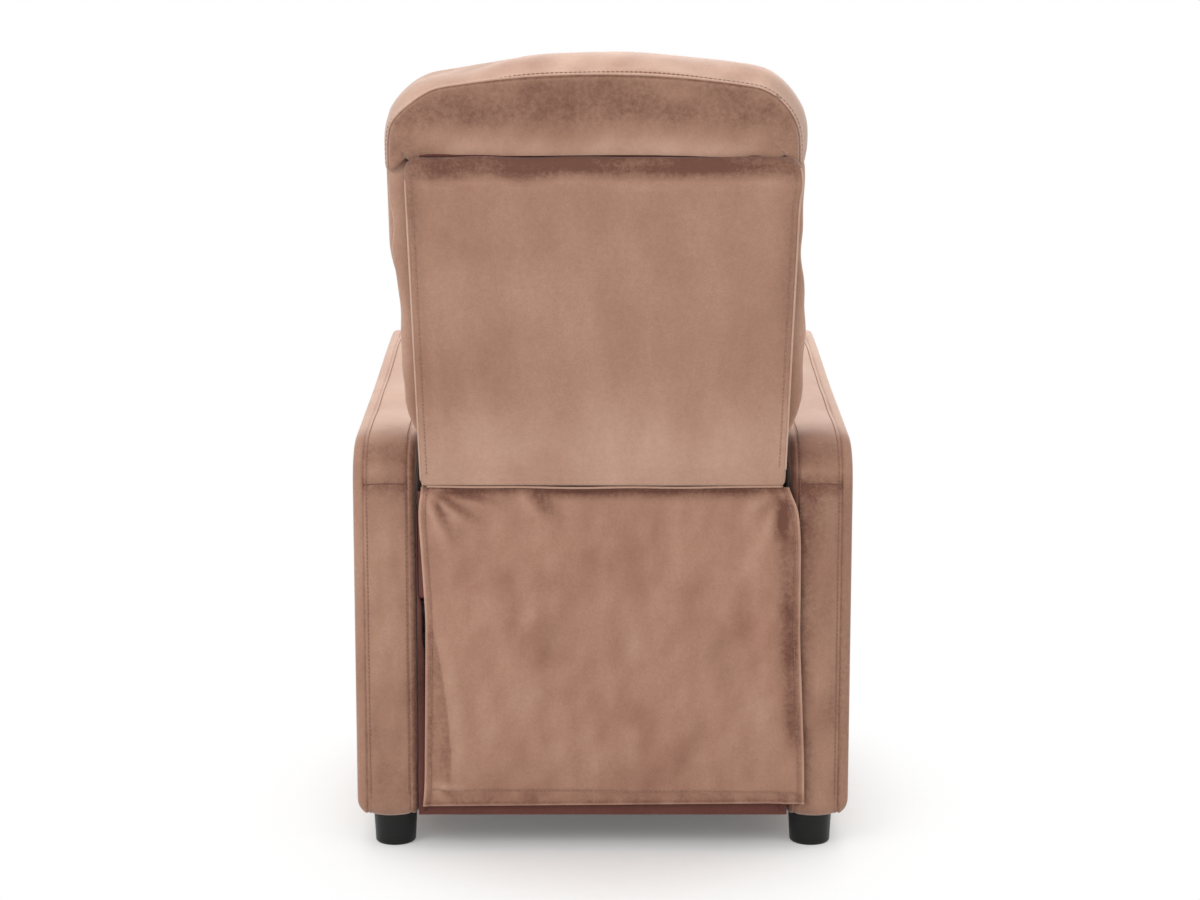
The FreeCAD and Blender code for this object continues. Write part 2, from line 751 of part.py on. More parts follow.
node("guide_rivets", pair("guide_rivet_pair",
                          rivet("guide_end_rivet", GUIDE_END, SEAT_PLATE_X, LINK_OUTER)))
node("knee_rivets", pair("knee_rivet_pair",
                         rivet("knee_rivet", KNEE, FOOT_PLATE_X, SEAT_PLATE_X + GAUGE)))
node("toe_rivets", pair("toe_rivet_pair",
                        rivet("toe_rivet", TOE, FOOT_PLATE_X, SEAT_PLATE_X + GAUGE)))
node("crank_pins", pair("crank_pin_pair", pin_along("crank_pin", CRANK, (
    (LINK_X, INNER - cell("layer_gap") / 2, cell("pin_diameter")),
    (LINK_OUTER, LINK_OUTER + cell("head_thickness"), cell("head_diameter"))))))
TUBE_START = (-LINK_X, from_rear(TUBE[0]), TUBE[1])
node("torque_tube", cut("torque_tube_hollow",
                        rod("tube_outer", "x", TUBE_START, LINK_X * 2, cell("tube_diameter")),
                        rod("tube_bore", "x", TUBE_START, LINK_X * 2,
                            cell("tube_diameter") - cell("tube_wall") * 2)))

# Seat: two slotted side plates under a wooden frame with webbing and a cushion

DRIVE_SLOT = ((DRIVE[0], PIVOT[1] - cell("drive_radius")
               - SEAT_TRAVEL * sin(cell("seat_rise")) / 2),
              DRIVE, cell("pin_diameter") + cell("drive_slot_play") * 2)
PLATE_HEIGHT = cell("seat_rail_bottom") - cell("seat_plate_drop")
SEAT_BOLTS = [(place[0], cell("seat_rail_bottom") + cell("seat_bolt_lift"))
              for place in ((REAR_GLIDE[0] + cell("seat_bolt_setback"), 0),
                            (FRONT_GLIDE[0] - cell("seat_bolt_setback") / 2, 0))]
node("seat_plates", pair("seat_plate_pair", side_plate(
    "seat_plate", SEAT_PLATE_X,
    bars=(((REAR_GLIDE[0], PLATE_HEIGHT), (FRONT_GLIDE[0], PLATE_HEIGHT),
           cell("seat_plate_half_height")),
          ((REAR_GLIDE[0], PIVOT[1]),
           (DRIVE[0], (DRIVE_SLOT[0][1] + DRIVE_SLOT[1][1]) / 2), cell("seat_tail_half_height"))),
    holes=[(place, FIT) for place in (LIFT, GUIDE, FRONT_GLIDE, REAR_GLIDE)]
    + [(place, BOLT_FIT) for place in SEAT_BOLTS],
    slots=[DRIVE_SLOT])))
node("seat_rivets", pair("seat_rivet_pair",
                         rivet("lift_pivot_rivet", LIFT, SEAT_PLATE_X, LINK_OUTER),
                         rivet("guide_pivot_rivet", GUIDE, SEAT_PLATE_X, LINK_OUTER)))
PLATE_END = INNER - cell("layer_gap") / 2
STUDS = []
GLIDES = []
for index, place in enumerate((FRONT_GLIDE, REAR_GLIDE)):
    STUDS.append(pin_along(f"glide_stud_{index}", place, (
        (SEAT_PLATE_X - cell("head_thickness"), SEAT_PLATE_X, cell("head_diameter")),
        (SEAT_PLATE_X, PLATE_END, cell("pin_diameter")),
        (SEAT_PLATE_X + GAUGE, BASE_PLATE_X - PLAY, cell("stud_collar")))))
    start = (BASE_PLATE_X, from_rear(place[0]), place[1])
    ring = rod(f"glide_ring_{index}", "x", start, PLATE_END - BASE_PLATE_X, cell("glide_diameter"))
    bore = rod(f"glide_bore_{index}", "x", start, PLATE_END - BASE_PLATE_X, FIT)
    GLIDES.append(cut(f"glide_{index}", ring, bore))
node("glide_studs", pair("glide_stud_pair", *STUDS))
node("seat_glides", pair("seat_glide_pair", *GLIDES))

RAIL_X = (SEAT_PLATE_X - cell("seat_rail_width"), SEAT_PLATE_X)
RAIL_Z = (cell("seat_rail_bottom"), cell("seat_rail_top"))
RAIL_REAR = from_rear(cell("seat_rail_rear"))
RAIL_FRONT = from_rear(cell("seat_rail_front"))
node("seat_side_rails", pair("seat_side_rail_pair",
                             block("seat_side_rail", RAIL_X, (RAIL_FRONT, RAIL_REAR), RAIL_Z)))
CROSS = cell("cross_rail_thickness")
node("seat_front_rail", block("seat_front_board", (-RAIL_X[1], RAIL_X[1]),
                              (RAIL_FRONT - CROSS, RAIL_FRONT),
                              (cell("front_cross_bottom"), RAIL_Z[1])))
node("seat_rear_rail", block("seat_rear_board", (-RAIL_X[0], RAIL_X[0]),
                             (RAIL_REAR - CROSS, RAIL_REAR), RAIL_Z))
node("seat_bolts", pair("seat_bolt_pair", *[
    pin_along(f"seat_bolt_{index}", place, (
        (RAIL_X[0] - cell("wood_screw_cap"), RAIL_X[0], cell("wood_screw_head")),
        (RAIL_X[0], SEAT_PLATE_X + GAUGE, cell("wood_screw_diameter"))))
    for index, place in enumerate(SEAT_BOLTS)]))

STRAP_TOP = RAIL_Z[1] + cell("webbing_thickness")
STRAPS = []
for index in range(5):
    middle = cell("seat_webbing_pitch") * (index - 2)
    STRAPS.append(block(f"seat_strap_{index}",
                        (middle - cell("webbing_width") / 2, middle + cell("webbing_width") / 2),
                        (RAIL_FRONT - CROSS, RAIL_REAR), (RAIL_Z[1], STRAP_TOP)))
node("seat_webbing", compound("seat_webbing_group", *STRAPS))


# Soft forms: lofts across the chair through sections of lines and arcs

def section(x, corners, radius):
    """A closed outline with rounded corners, in the plane of one X.

    The corners are (y, z) points in order round the outline.
    """
    points = [FreeCAD.Vector(x, y, z) for y, z in corners]
    count = len(points)
    shortest = min((points[i] - points[i - 1]).Length for i in range(count))
    arcs = []
    for i, corner in enumerate(points):
        back = (points[i - 1] - corner).normalize()
        ahead = (points[(i + 1) % count] - corner).normalize()
        half = back.getAngle(ahead) / 2
        run = min(radius / math.tan(half), 0.45 * shortest)
        middle = (back + ahead).normalize() * (run * math.tan(half) * (1 / math.sin(half) - 1))
        arcs.append((corner + back * run, corner + middle, corner + ahead * run))
    edges = []
    for arc, following in zip(arcs, arcs[1:] + arcs[:1]):
        edges.append(Part.Arc(*arc).toShape())
        edges.append(Part.LineSegment(arc[2], following[0]).toShape())
    return Part.Wire(edges)


def pillow(name, half_width, y, z, crown, top_corner, corner, ridge=None):
    """A crowned cushion, fullest in the middle and rounded off towards both ends.

    y is (front, rear) and z (bottom, top). crown is how far the front and the top fall away
    from the middle to the ends, and top_corner the radius of its two upper corners. A ridge
    (depth behind the front, rise, drop of the front edge) gives the top a crest.
    """
    half = half_width.value
    front, rear = y[0].value, y[1].value
    bottom, top = z[0].value, z[1].value
    large, small = top_corner.value, corner.value
    inner = max(half - large, half * 0.3)
    places = [0.0, inner / 2, inner]
    places += [inner + (half - inner) * math.sin(math.radians(a)) for a in (30, 55, 75, 90)]

    def fall(x, radius):
        beyond = min(max(0.0, x - (half - radius)), 0.985 * radius)
        return radius - math.sqrt(radius ** 2 - beyond ** 2)

    wires = []
    for x in [-place for place in reversed(places[1:])] + places:
        share = (x / half) ** 2
        edge = fall(abs(x), small)
        low = bottom + edge * 0.6
        high = top - crown[1].value * share - fall(abs(x), large)
        near, far = front + crown[0].value * share + edge, rear - edge * 0.4
        corners = [(near, low), (far, low), (far, high)]
        if ridge:
            fade = (high - low) / (top - bottom)
            corners.append((front + ridge[0].value, high + ridge[1].value * fade))
            corners.append((near, high - ridge[2].value * fade))
        else:
            corners.append((near, high))
        wires.append(section(x, corners, small))
    item = DOC.addObject("Part::Feature", name)
    item.Shape = Part.makeLoft(wires, True, True)
    return item


GAP_SOFT = cell("soft_gap")
SEAT_BOTTOM = STRAP_TOP + GAP_SOFT
SEAT_FRONT = from_rear(cell("seat_cushion_front"))
CROWN = cell("cushion_crown")
EDGE = cell("cushion_edge")
node("seat_cushion", pillow("seat_cushion_form", cell("seat_half_width"),
                            (SEAT_FRONT, from_rear(cell("seat_cushion_rear"))),
                            (SEAT_BOTTOM, SEAT_BOTTOM + cell("seat_cushion_height")),
                            (GAP_SOFT, cell("seat_crown")), EDGE, EDGE))
node("seat_front_pad", pillow("seat_front_form", cell("seat_half_width"),
                              (SEAT_FRONT, RAIL_FRONT - CROSS - GAP_SOFT),
                              (cell("front_cross_bottom"), SEAT_BOTTOM - GAP_SOFT),
                              (GAP_SOFT, GAP_SOFT), cell("pad_edge"), cell("pad_edge")))

# Footrest: a padded board on two steel brackets

BOARD_REAR = from_rear(cell("footrest_rear"))
BOARD_FRONT = BOARD_REAR - cell("footrest_board")
INSET = cell("footrest_board_inset")
BOARD_X = cell("footrest_half_width") - INSET
BOARD_Z = (cell("footrest_bottom") + INSET, cell("footrest_top") - INSET)
node("footrest_board", block("footrest_plywood", (-BOARD_X, BOARD_X),
                             (BOARD_FRONT, BOARD_REAR), BOARD_Z))
node("footrest_cushion", pillow("footrest_form", cell("footrest_half_width"),
                                (BOARD_FRONT - cell("footrest_cushion"), BOARD_FRONT - GAP_SOFT),
                                (cell("footrest_bottom"), cell("footrest_top")),
                                (cell("footrest_crown"), GAP_SOFT), EDGE, EDGE))
HALF_BAR = cell("footrest_bracket_half")
SPINE = cell("footrest_rear") - HALF_BAR
SPINE_ENDS = ((SPINE, TOE[1]), (SPINE, KNEE[1] + HALF_BAR * 3))
PLATE = side_plate("footrest_plate", FOOT_PLATE_X,
                   bars=((TOE, KNEE, HALF_BAR), (KNEE, (SPINE, KNEE[1]), HALF_BAR),
                         (SPINE_ENDS[0], SPINE_ENDS[1], HALF_BAR)),
                   holes=[(TOE, FIT), (KNEE, FIT)])
FLANGE_X = (FOOT_PLATE_X - cell("footrest_flange"), FOOT_PLATE_X + GAUGE)
FLANGE = block("footrest_flange_plate", FLANGE_X, (BOARD_REAR, BOARD_REAR + GAUGE),
               (SPINE_ENDS[0][1] - HALF_BAR / 2, SPINE_ENDS[1][1] + HALF_BAR / 2))
FOOT_SCREW_X = FOOT_PLATE_X - cell("footrest_flange") / 2
FLANGE_HOLES = [rod(f"footrest_flange_hole_{index}", "y", (FOOT_SCREW_X, BOARD_REAR, place[1]),
                    GAUGE, BOLT_FIT) for index, place in enumerate(SPINE_ENDS)]
node("footrest_brackets", pair("footrest_bracket_pair", cut(
    "footrest_bracket", fuse("footrest_bracket_steel", PLATE, FLANGE), *FLANGE_HOLES)))
node("footrest_screws", pair("footrest_screw_pair", *[
    wood_screw(f"footrest_screw_{index}", "y", (FOOT_SCREW_X, BOARD_REAR + GAUGE, place[1]), -1,
               GAUGE + cell("footrest_screw_length"))
    for index, place in enumerate(SPINE_ENDS)]))


# Backrest, drawn in the frame that leans with it. Its depths count forward from the rear panel.

def from_panel(depth):
    return cell("back_offset") - depth


POST_X = (cell("post_outer") - cell("post_width"), cell("post_outer"))
POST_Y = (from_panel(cell("panel_thickness") + cell("post_thickness")),
          from_panel(cell("panel_thickness")))
POST_Z = (cell("post_bottom"), cell("post_top"))
node("back_posts", lean(pair("back_post_pair", block("back_post", POST_X, POST_Y, POST_Z))))
HEAD_BOARD_Y = (POST_Y[1] - cell("head_board_setback") - cell("head_board_thickness"),
                POST_Y[1] - cell("head_board_setback"))
BACK_RAILS = []
for name, deep in (("low", POST_Y), ("mid", POST_Y), ("high", (POST_Y[0], HEAD_BOARD_Y[0]))):
    bottom = cell(f"back_rail_{name}")
    BACK_RAILS.append(block(f"back_rail_{name}_board", (-POST_X[0], POST_X[0]), deep,
                            (bottom, bottom + cell("back_rail_height"))))
node("back_rails", lean(compound("back_rail_group", *BACK_RAILS)))
HEAD_BOARD_X = (-cell("head_board_half"), cell("head_board_half"))
HEAD_BOARD_Z = (cell("back_rail_high"), cell("head_board_top"))
node("head_board", lean(compound("head_board_group", block(
    "head_board_plywood", HEAD_BOARD_X, HEAD_BOARD_Y, HEAD_BOARD_Z))))

WEB_Y = (POST_Y[0] - cell("webbing_thickness"), POST_Y[0])
BACK_STRAPS = []
for index in range(6):
    bottom = cell("back_webbing_first") + cell("back_webbing_pitch") * index
    BACK_STRAPS.append(block(f"back_strap_{index}", (-POST_X[1], POST_X[1]), WEB_Y,
                             (bottom, bottom + cell("webbing_width"))))
node("back_webbing", lean(compound("back_webbing_group", *BACK_STRAPS)))


def back_panel(name):
    """The outside back: a board with a slight taper, round upper corners and soft edges."""
    body = DOC.addObject("PartDesign::Body", name)
    sketch = new_sketch(body, f"{name}_outline", "XZ_Plane")
    bind(sketch, "AttachmentOffset.Base.z", -cell("back_offset"))
    low, high = cell("panel_bottom_width") / 2, cell("panel_top_width") / 2
    bottom, top = cell("panel_bottom"), cell("panel_top")
    draw_polygon(sketch, ((-low, bottom), (low, bottom), (high, top), (-high, top)))
    board = pad(body, sketch, cell("panel_thickness"))
    rear = SIZES["back_offset"]
    corners = round_edges(body, board, cell("panel_corner"),
                          lambda one, two: abs(one.y - two.y) > 1 and one.z > top.value - 0.01)
    round_edges(body, corners, cell("panel_edge"),
                lambda one, two: min(one.y, two.y) > rear - 0.01)
    return lean(body)


node("back_panel", back_panel("back_panel_board"))

RAISED = cell("back_lean") + 90
node("back_brackets", pair("back_bracket_pair", side_plate(
    "back_bracket", LINK_X,
    bars=((DRIVE, PIVOT, cell("back_bracket_half")),
          (PIVOT, along(PIVOT, cell("bracket_reach"), RAISED), cell("back_bracket_half"))),
    holes=[(PIVOT, PIVOT_FIT), (DRIVE, FIT)]
    + [(along(PIVOT, place, RAISED), BOLT_FIT)
       for place in (cell("bracket_bolt_low"), cell("bracket_reach"))])))
node("drive_pins", pair("drive_pin_pair", rivet("drive_pin", DRIVE, SEAT_PLATE_X, LINK_OUTER)))
BRACKET_BOLTS = []
for index, place in enumerate((cell("bracket_bolt_low"), cell("bracket_reach"))):
    depth, height = along(PIVOT, place, RAISED)
    BRACKET_BOLTS.append(wood_screw(f"bracket_bolt_{index}", "x",
                                    (LINK_OUTER, from_rear(depth), height), -1))
node("bracket_bolts", pair("bracket_bolt_pair", *BRACKET_BOLTS))

# Back cushions, one above the other, and the head cushion that is pulled over its board

SOFT_REAR = WEB_Y[0] - GAP_SOFT
TIERS = (("lumbar", "low_half_width", cell("lumbar_bottom"), cell("lumbar_top")),
         ("middle", "high_half_width", cell("lumbar_top") + cell("cushion_gap"), cell("middle_top")),
         ("shoulder", "high_half_width", cell("middle_top") + cell("cushion_gap"),
          cell("shoulder_top")))
for tier, half_width, bottom, top in TIERS:
    form = pillow(f"{tier}_form", cell(half_width),
                  (from_panel(cell(f"{tier}_depth")), SOFT_REAR), (bottom, top),
                  (CROWN, GAP_SOFT), EDGE, EDGE)
    node(f"{tier}_cushion", lean(form))
SIDE_X = (cell("post_outer") + GAP_SOFT, cell("high_half_width") - cell("side_pad_inset"))
node("back_side_pads", lean(pair("side_pad_pair", block(
    "side_pad", SIDE_X, (SOFT_REAR + GAP_SOFT, from_panel(cell("side_pad_rear"))),
    (TIERS[1][2], TIERS[2][3])))))
HEAD_Z = (cell("shoulder_top") + cell("cushion_gap"), cell("head_top"))
HEAD_FORM = pillow("head_form", cell("high_half_width"),
                   (from_panel(cell("head_depth")), from_panel(cell("head_rear"))), HEAD_Z,
                   (CROWN, cell("head_arch")), cell("head_corner"), EDGE,
                   (cell("head_ridge_setback"), cell("head_ridge_rise"), cell("head_front_drop")))
POCKET = block("head_pocket", (HEAD_BOARD_X[0] - GAP_SOFT, HEAD_BOARD_X[1] + GAP_SOFT),
               (HEAD_BOARD_Y[0] - GAP_SOFT, HEAD_BOARD_Y[1] + GAP_SOFT),
               (HEAD_Z[0] - EDGE, HEAD_BOARD_Z[1] + GAP_SOFT))
node("head_cushion", lean(cut("head_hollow", HEAD_FORM, POCKET)))


# Rear flap: a cloth that hangs from the rear panel down to the strip on the rear rail

def flap_section(x, billow, top, bottom):
    """A thin band that bows out to the rear by its billow, in the plane of one X."""
    near = SIZES["origin_setback"] + SIZES["flap_gap"]
    cloth = SIZES["flap_thickness"]
    middle = (top + bottom) / 2
    tuck = SIZES["flap_top_set"]
    inner = [(near + tuck, top), (near + billow, middle), (near, bottom)]
    outer = [(y + cloth, z) for y, z in inner]
    inner, outer = [[FreeCAD.Vector(x, y, z) for y, z in line] for line in (inner, outer)]
    return Part.Wire([Part.Arc(*outer).toShape(),
                      Part.LineSegment(outer[2], inner[2]).toShape(),
                      Part.Arc(*reversed(inner)).toShape(),
                      Part.LineSegment(inner[0], outer[0]).toShape()])


def rear_flap(name):
    half = SIZES["flap_width"] / 2
    lean_angle = math.radians(SIZES["back_lean"])
    top = (SIZES["pivot_height"] + SIZES["panel_bottom"] * math.cos(lean_angle)
           - SIZES["back_offset"] * math.sin(lean_angle) - SIZES["flap_gap"])
    folds = (0.25, 0.75, 1.05, 0.9, 1.0, 0.85, 0.95, 0.7, 1.1, 0.6, 0.25)
    wires = []
    for index, fold in enumerate(folds):
        x = half * (2 * index / (len(folds) - 1) - 1)
        wires.append(flap_section(x, SIZES["flap_billow"] * fold, top, SIZES["flap_bottom"]))
    item = DOC.addObject("Part::Feature", name)
    item.Shape = Part.makeLoft(wires, True, True)
    return item


node("rear_flap", rear_flap("rear_flap_cloth"))


# Check every object, then write each sub-part to a file of its own

DOC.recompute()
for item in DOC.Objects:
    if "Invalid" in item.State or "Error" in item.State:
        raise RuntimeError(f"{item.Name} failed: {item.State}")
os.makedirs("parts", exist_ok=True)
for label, item in NODES.items():
    shape = item.Shape
    if shape.isNull() or not shape.isValid() or not shape.Solids:
        raise RuntimeError(f"{label} has no valid solid")
for label, item in NODES.items():
    item.Shape.exportStep(f"parts/{label}.step")
print(f"{len(NODES)} sub-parts written")
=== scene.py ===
"""Recliner chair: the looks of the upholstered push-back recliner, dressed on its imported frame."""

import sys
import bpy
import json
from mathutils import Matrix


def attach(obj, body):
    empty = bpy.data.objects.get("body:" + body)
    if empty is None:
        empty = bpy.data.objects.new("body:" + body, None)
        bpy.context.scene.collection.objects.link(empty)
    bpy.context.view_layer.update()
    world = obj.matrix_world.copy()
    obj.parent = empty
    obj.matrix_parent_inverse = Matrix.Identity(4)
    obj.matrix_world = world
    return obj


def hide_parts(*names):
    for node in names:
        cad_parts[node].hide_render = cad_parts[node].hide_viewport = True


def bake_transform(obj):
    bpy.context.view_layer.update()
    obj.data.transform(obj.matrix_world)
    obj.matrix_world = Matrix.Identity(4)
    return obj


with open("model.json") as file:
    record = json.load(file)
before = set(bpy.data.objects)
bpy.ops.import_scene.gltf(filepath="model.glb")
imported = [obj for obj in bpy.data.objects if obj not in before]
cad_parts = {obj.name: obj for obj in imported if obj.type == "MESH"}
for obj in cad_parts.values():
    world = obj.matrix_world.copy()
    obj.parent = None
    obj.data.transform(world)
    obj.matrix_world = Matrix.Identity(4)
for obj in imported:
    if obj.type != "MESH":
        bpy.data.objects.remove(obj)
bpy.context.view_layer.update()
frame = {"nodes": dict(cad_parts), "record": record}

import json
import logging
import math
from collections.abc import Callable, Sequence
from dataclasses import dataclass
from enum import Enum

import bmesh
import bpy
import numpy as np
from mathutils import Vector

LOG = logging.getLogger("recliner")
Array = np.ndarray
Colour = tuple[float, float, float]
Pair = tuple[float, float]
Pairs = Sequence[Pair]
Radii = tuple[float, float, float, float]
Steps = tuple[int, int]
Material, Piece = bpy.types.Material, bpy.types.Object

# The back's lean, its foot on the frame, and the depth of the rear panel's face.
LEAN = math.radians(16.0)
BACK_FOOT_Y, BACK_FOOT_Z, PANEL_FACE = 0.1836, 0.310, 0.0294
ARM_REAR_Y = 0.2546
SIDES = ((1, "left"), (-1, "right"))
# The record's material slot whose finish is the velvet.
VELVET_SLOT = "velvet"
WHITE = (1.0, 1.0, 1.0, 1.0)


class Body(Enum):
    """The bodies of the frame that soft pieces ride on."""

    BASE = "base"
    BACKREST = "backrest"
    SEAT = "seat"
    FOOTREST = "footrest"


def srgb(red: int, green: int, blue: int) -> Colour:
    """Turns a screen colour, each part from 0 to 255, into the linear colour that a shader takes."""
    parts = [c / 255.0 for c in (red, green, blue)]
    return tuple(c / 12.92 if c <= 0.04045 else ((c + 0.055) / 1.055) ** 2.4 for c in parts)


class Socket:
    """A node's output that takes part in Python expressions."""

    def __init__(self, shader: "Shader", link: bpy.types.NodeSocket) -> None:
        """Keeps the output and the shader that it belongs to."""
        self.shader, self.link = shader, link

    def _math(self, operation: str, *values: "Socket | float") -> "Socket":
        """Adds a Math node that works on the values."""
        return self.shader.node("ShaderNodeMath", {"operation": operation}, dict(enumerate(values)))

    def __add__(self, other: "Socket | float") -> "Socket":
        """Adds."""
        return self._math("ADD", self, other)

    def __radd__(self, other: float) -> "Socket":
        """Adds, with the number first."""
        return self._math("ADD", other, self)

    def __sub__(self, other: "Socket | float") -> "Socket":
        """Subtracts."""
        return self._math("SUBTRACT", self, other)

    def __rsub__(self, other: float) -> "Socket":
        """Subtracts from a number."""
        return self._math("SUBTRACT", other, self)

    def __mul__(self, other: "Socket | float") -> "Socket":
        """Multiplies."""
        return self._math("MULTIPLY", self, other)

    def __rmul__(self, other: float) -> "Socket":
        """Multiplies, with the number first."""
        return self._math("MULTIPLY", other, self)

    def __or__(self, other: "Socket") -> "Socket":
        """Gives the greater, which joins two masks."""
        return self._math("MAXIMUM", self, other)

    def ramp(self, low: float, high: float) -> "Socket":
        """Rises smoothly from 0 at low to 1 at high."""
        ends = {"Value": self, "From Min": low, "From Max": high}
        return self.shader.node("ShaderNodeMapRange", {"interpolation_type": "SMOOTHSTEP"}, ends)


class Shader:
    """The nodes of one material or world, made from expressions."""

    def __init__(self, owner: bpy.types.ID, output: str = "ShaderNodeOutputMaterial") -> None:
        """Starts with the output node alone.

        Args:
            owner: the material or the world.
            output: the type of its output node.
        """
        owner.use_nodes = True
        self.owner, self.tree = owner, owner.node_tree
        self.tree.nodes.clear()
        self.output = self.tree.nodes.new(output)

    def node(
        self,
        kind: str,
        settings: dict[str, object] | None = None,
        inputs: dict[str | int, object] | None = None,
        output: str | int = 0,
    ) -> Socket:
        """Adds a node, its settings first and then its sockets.

        Args:
            kind: the node's type.
            settings: the node's own settings; a ramp's stops go under "stops".
            inputs: a value or a link for each named or numbered socket.
            output: which output to hand back.

        Returns:
            The chosen output.
        """
        made = self.tree.nodes.new(kind)
        for key, value in (settings or {}).items():
            if key == "stops":
                self._stops(made.color_ramp, value)
            else:
                setattr(made, key, value)
        for key, value in (inputs or {}).items():
            if isinstance(value, Socket):
                self.tree.links.new(value.link, made.inputs[key])
            else:
                made.inputs[key].default_value = value
        return Socket(self, made.outputs[output])

    @staticmethod
    def _stops(ramp: bpy.types.ColorRamp, stops: Sequence[tuple[float, Colour]]) -> None:
        """Sets a colour ramp's stops.

        Args:
            ramp: the ramp.
            stops: each stop's place and colour.
        """
        while len(ramp.elements) < len(stops):
            ramp.elements.new(0.5)
        for element, (place, colour) in zip(ramp.elements, stops):
            element.position, element.color = place, (*colour, 1.0)

    def place(self) -> Socket:
        """Gives the point on the piece, in metres."""
        return self.node("ShaderNodeTexCoord", output="Object")

    def stretched(self, place: Socket, *scale: float) -> Socket:
        """Scales the point's three directions on their own."""
        return self.node("ShaderNodeVectorMath", {"operation": "MULTIPLY"}, {0: place, 1: scale})

    def noise(self, place: Socket, scale: float, detail: float = 2.0, rough: float = 0.5) -> Socket:
        """Adds soft noise, from 0 to 1.

        Args:
            place: the point.
            scale: how many waves there are in a metre.
            detail: how many finer layers are added.
            rough: how strong these are.

        Returns:
            The noise.
        """
        inputs = {"Vector": place, "Scale": scale, "Detail": detail, "Roughness": rough}
        return self.node("ShaderNodeTexNoise", {"noise_dimensions": "3D"}, inputs)

    def wave(self, place: Socket, scale: float, way: str, distortion: float) -> Socket:
        """Adds bands across one direction, from 0 to 1.

        Args:
            place: the point.
            scale: how close together the bands are.
            way: the direction that they cross.
            distortion: how uneven they are.

        Returns:
            The bands.
        """
        settings = {"wave_type": "BANDS", "bands_direction": way}
        inputs = {"Vector": place, "Scale": scale, "Distortion": distortion, "Detail": 1.0}
        return self.node("ShaderNodeTexWave", settings, inputs)

    def mix(self, share: Socket, first: Socket | Colour, second: Socket | Colour) -> Socket:
        """Mixes two colours, by the share of the second."""
        ends = [c if isinstance(c, Socket) else (*c, 1.0) for c in (first, second)]
        return self.node("ShaderNodeMix", {"data_type": "RGBA"}, dict(zip((0, 6, 7), (share, *ends))), 2)

    def bump(self, height: Socket, strength: float, distance: float) -> Socket:
        """Turns a height into a normal."""
        inputs = {"Strength": strength, "Distance": distance, "Height": height}
        return self.node("ShaderNodeBump", {}, inputs)

    def direct(self) -> Socket:
        """Gives 1 for rays of the camera, of reflections and of what is seen through, else 0.

        Returns:
            The 1 or 0.
        """
        kinds = ("Is Camera Ray", "Is Glossy Ray", "Is Transmission Ray")
        camera, glossy, through = (self.node("ShaderNodeLightPath", output=kind) for kind in kinds)
        return camera | (glossy | through)

    def close(self, shader: Socket) -> None:
        """Joins a shader to the output."""
        self.tree.links.new(shader.link, self.output.inputs["Surface"])

    def surface(self, **inputs: object) -> Material:
        """Adds the surface shader and joins it to the output.

        Args:
            inputs: the shader's sockets, with _ for a space in a name.

        Returns:
            The finished material.
        """
        named = {key.replace("_", " "): value for key, value in inputs.items()}
        self.close(self.node("ShaderNodeBsdfPrincipled", {}, named))
        return self.owner


@dataclass(frozen=True)
class Finish:
    """What every finish has: a name, and a shader that starts empty."""

    name: str

    def start(self) -> tuple[Shader, Socket]:
        """Gives the new material's shader and the point on the piece."""
        shader = Shader(bpy.data.materials.new(self.name))
        return shader, shader.place()


@dataclass(frozen=True)
class Velvet(Finish):
    """Short-pile velvet, brushed lighter and darker in soft patches, which also takes painted light and
    shade from each piece.
    """

    low: Colour
    mid: Colour
    high: Colour
    rosy: Colour
    rose: float = 0.30
    sheen: float = 0.52

    def material(self) -> Material:
        """Builds the velvet, which reads each piece's painted light and shade, mixed with random brushing
        of the pile, where the piece has them.

        Returns:
            The material.
        """
        s, place = self.start()
        patches = s.noise(place, 5.2, detail=4.0, rough=0.62)
        streaks = s.noise(s.stretched(place, 46.0, 46.0, 9.0), 1.0, detail=3.0, rough=0.6)
        rose = s.noise(place, 7.3, detail=3.0, rough=0.55).ramp(0.46, 0.68)
        pile = s.noise(place, 950.0, rough=0.7)
        flecks = s.noise(place, 150.0, detail=4.0, rough=0.8)
        grain = s.noise(place, 430.0, rough=0.6)
        # Each piece's attribute holds painted light and shade mixed with random brushing of the pile; it
        # lightens and darkens the cloth below, and the flecks grow stronger where it paints shade.
        painted_shading_and_nap = s.node("ShaderNodeAttribute", {"attribute_name": "painted_shading_and_nap"}, output="Fac")
        tone = (
            0.5
            + (patches - 0.5) * 0.30
            + (streaks - 0.5) * 0.15
            + (flecks - 0.5) * (0.24 + 0.48 * painted_shading_and_nap.ramp(-0.05, -0.5))
            + (grain - 0.5) * 0.20
            + (pile - 0.5) * 0.10
            + painted_shading_and_nap * 0.5
        )
        stops = [(0.0, self.low), (0.5, self.mid), (1.0, self.high)]
        cloth = s.node("ShaderNodeValToRGB", {"stops": stops}, {0: tone})
        cloth = s.mix(rose * self.rose, cloth, s.mix(tone.ramp(0.1, 0.95), self.low, self.rosy))
        return s.surface(
            Base_Color=cloth,
            Roughness=0.72 + (pile - 0.5) * 0.2,
            Normal=s.bump(pile * 0.7 + flecks * 0.5 + streaks * 0.5, 0.35, 0.0006),
            Sheen_Weight=self.sheen,
            Sheen_Roughness=0.42,
            Sheen_Tint=(1.0, 0.94, 0.89, 1.0),
            Specular_IOR_Level=0.18,
        )


@dataclass(frozen=True)
class Thread(Finish):
    """Twisted sewing thread."""

    colour: Colour

    def material(self) -> Material:
        """Builds the thread, with its twist as fine bands.

        Returns:
            The material.
        """
        s, place = self.start()
        twist = s.wave(place, 260.0, "DIAGONAL", 1.5)
        worn = s.noise(place, 60.0)
        dark = tuple(c * 0.72 for c in self.colour)
        return s.surface(
            Base_Color=s.mix(twist * 0.5 + worn * 0.4, dark, self.colour),
            Roughness=0.55 + worn * 0.2,
            Normal=s.bump(twist, 0.4, 0.0003),
            Specular_IOR_Level=0.3,
        )


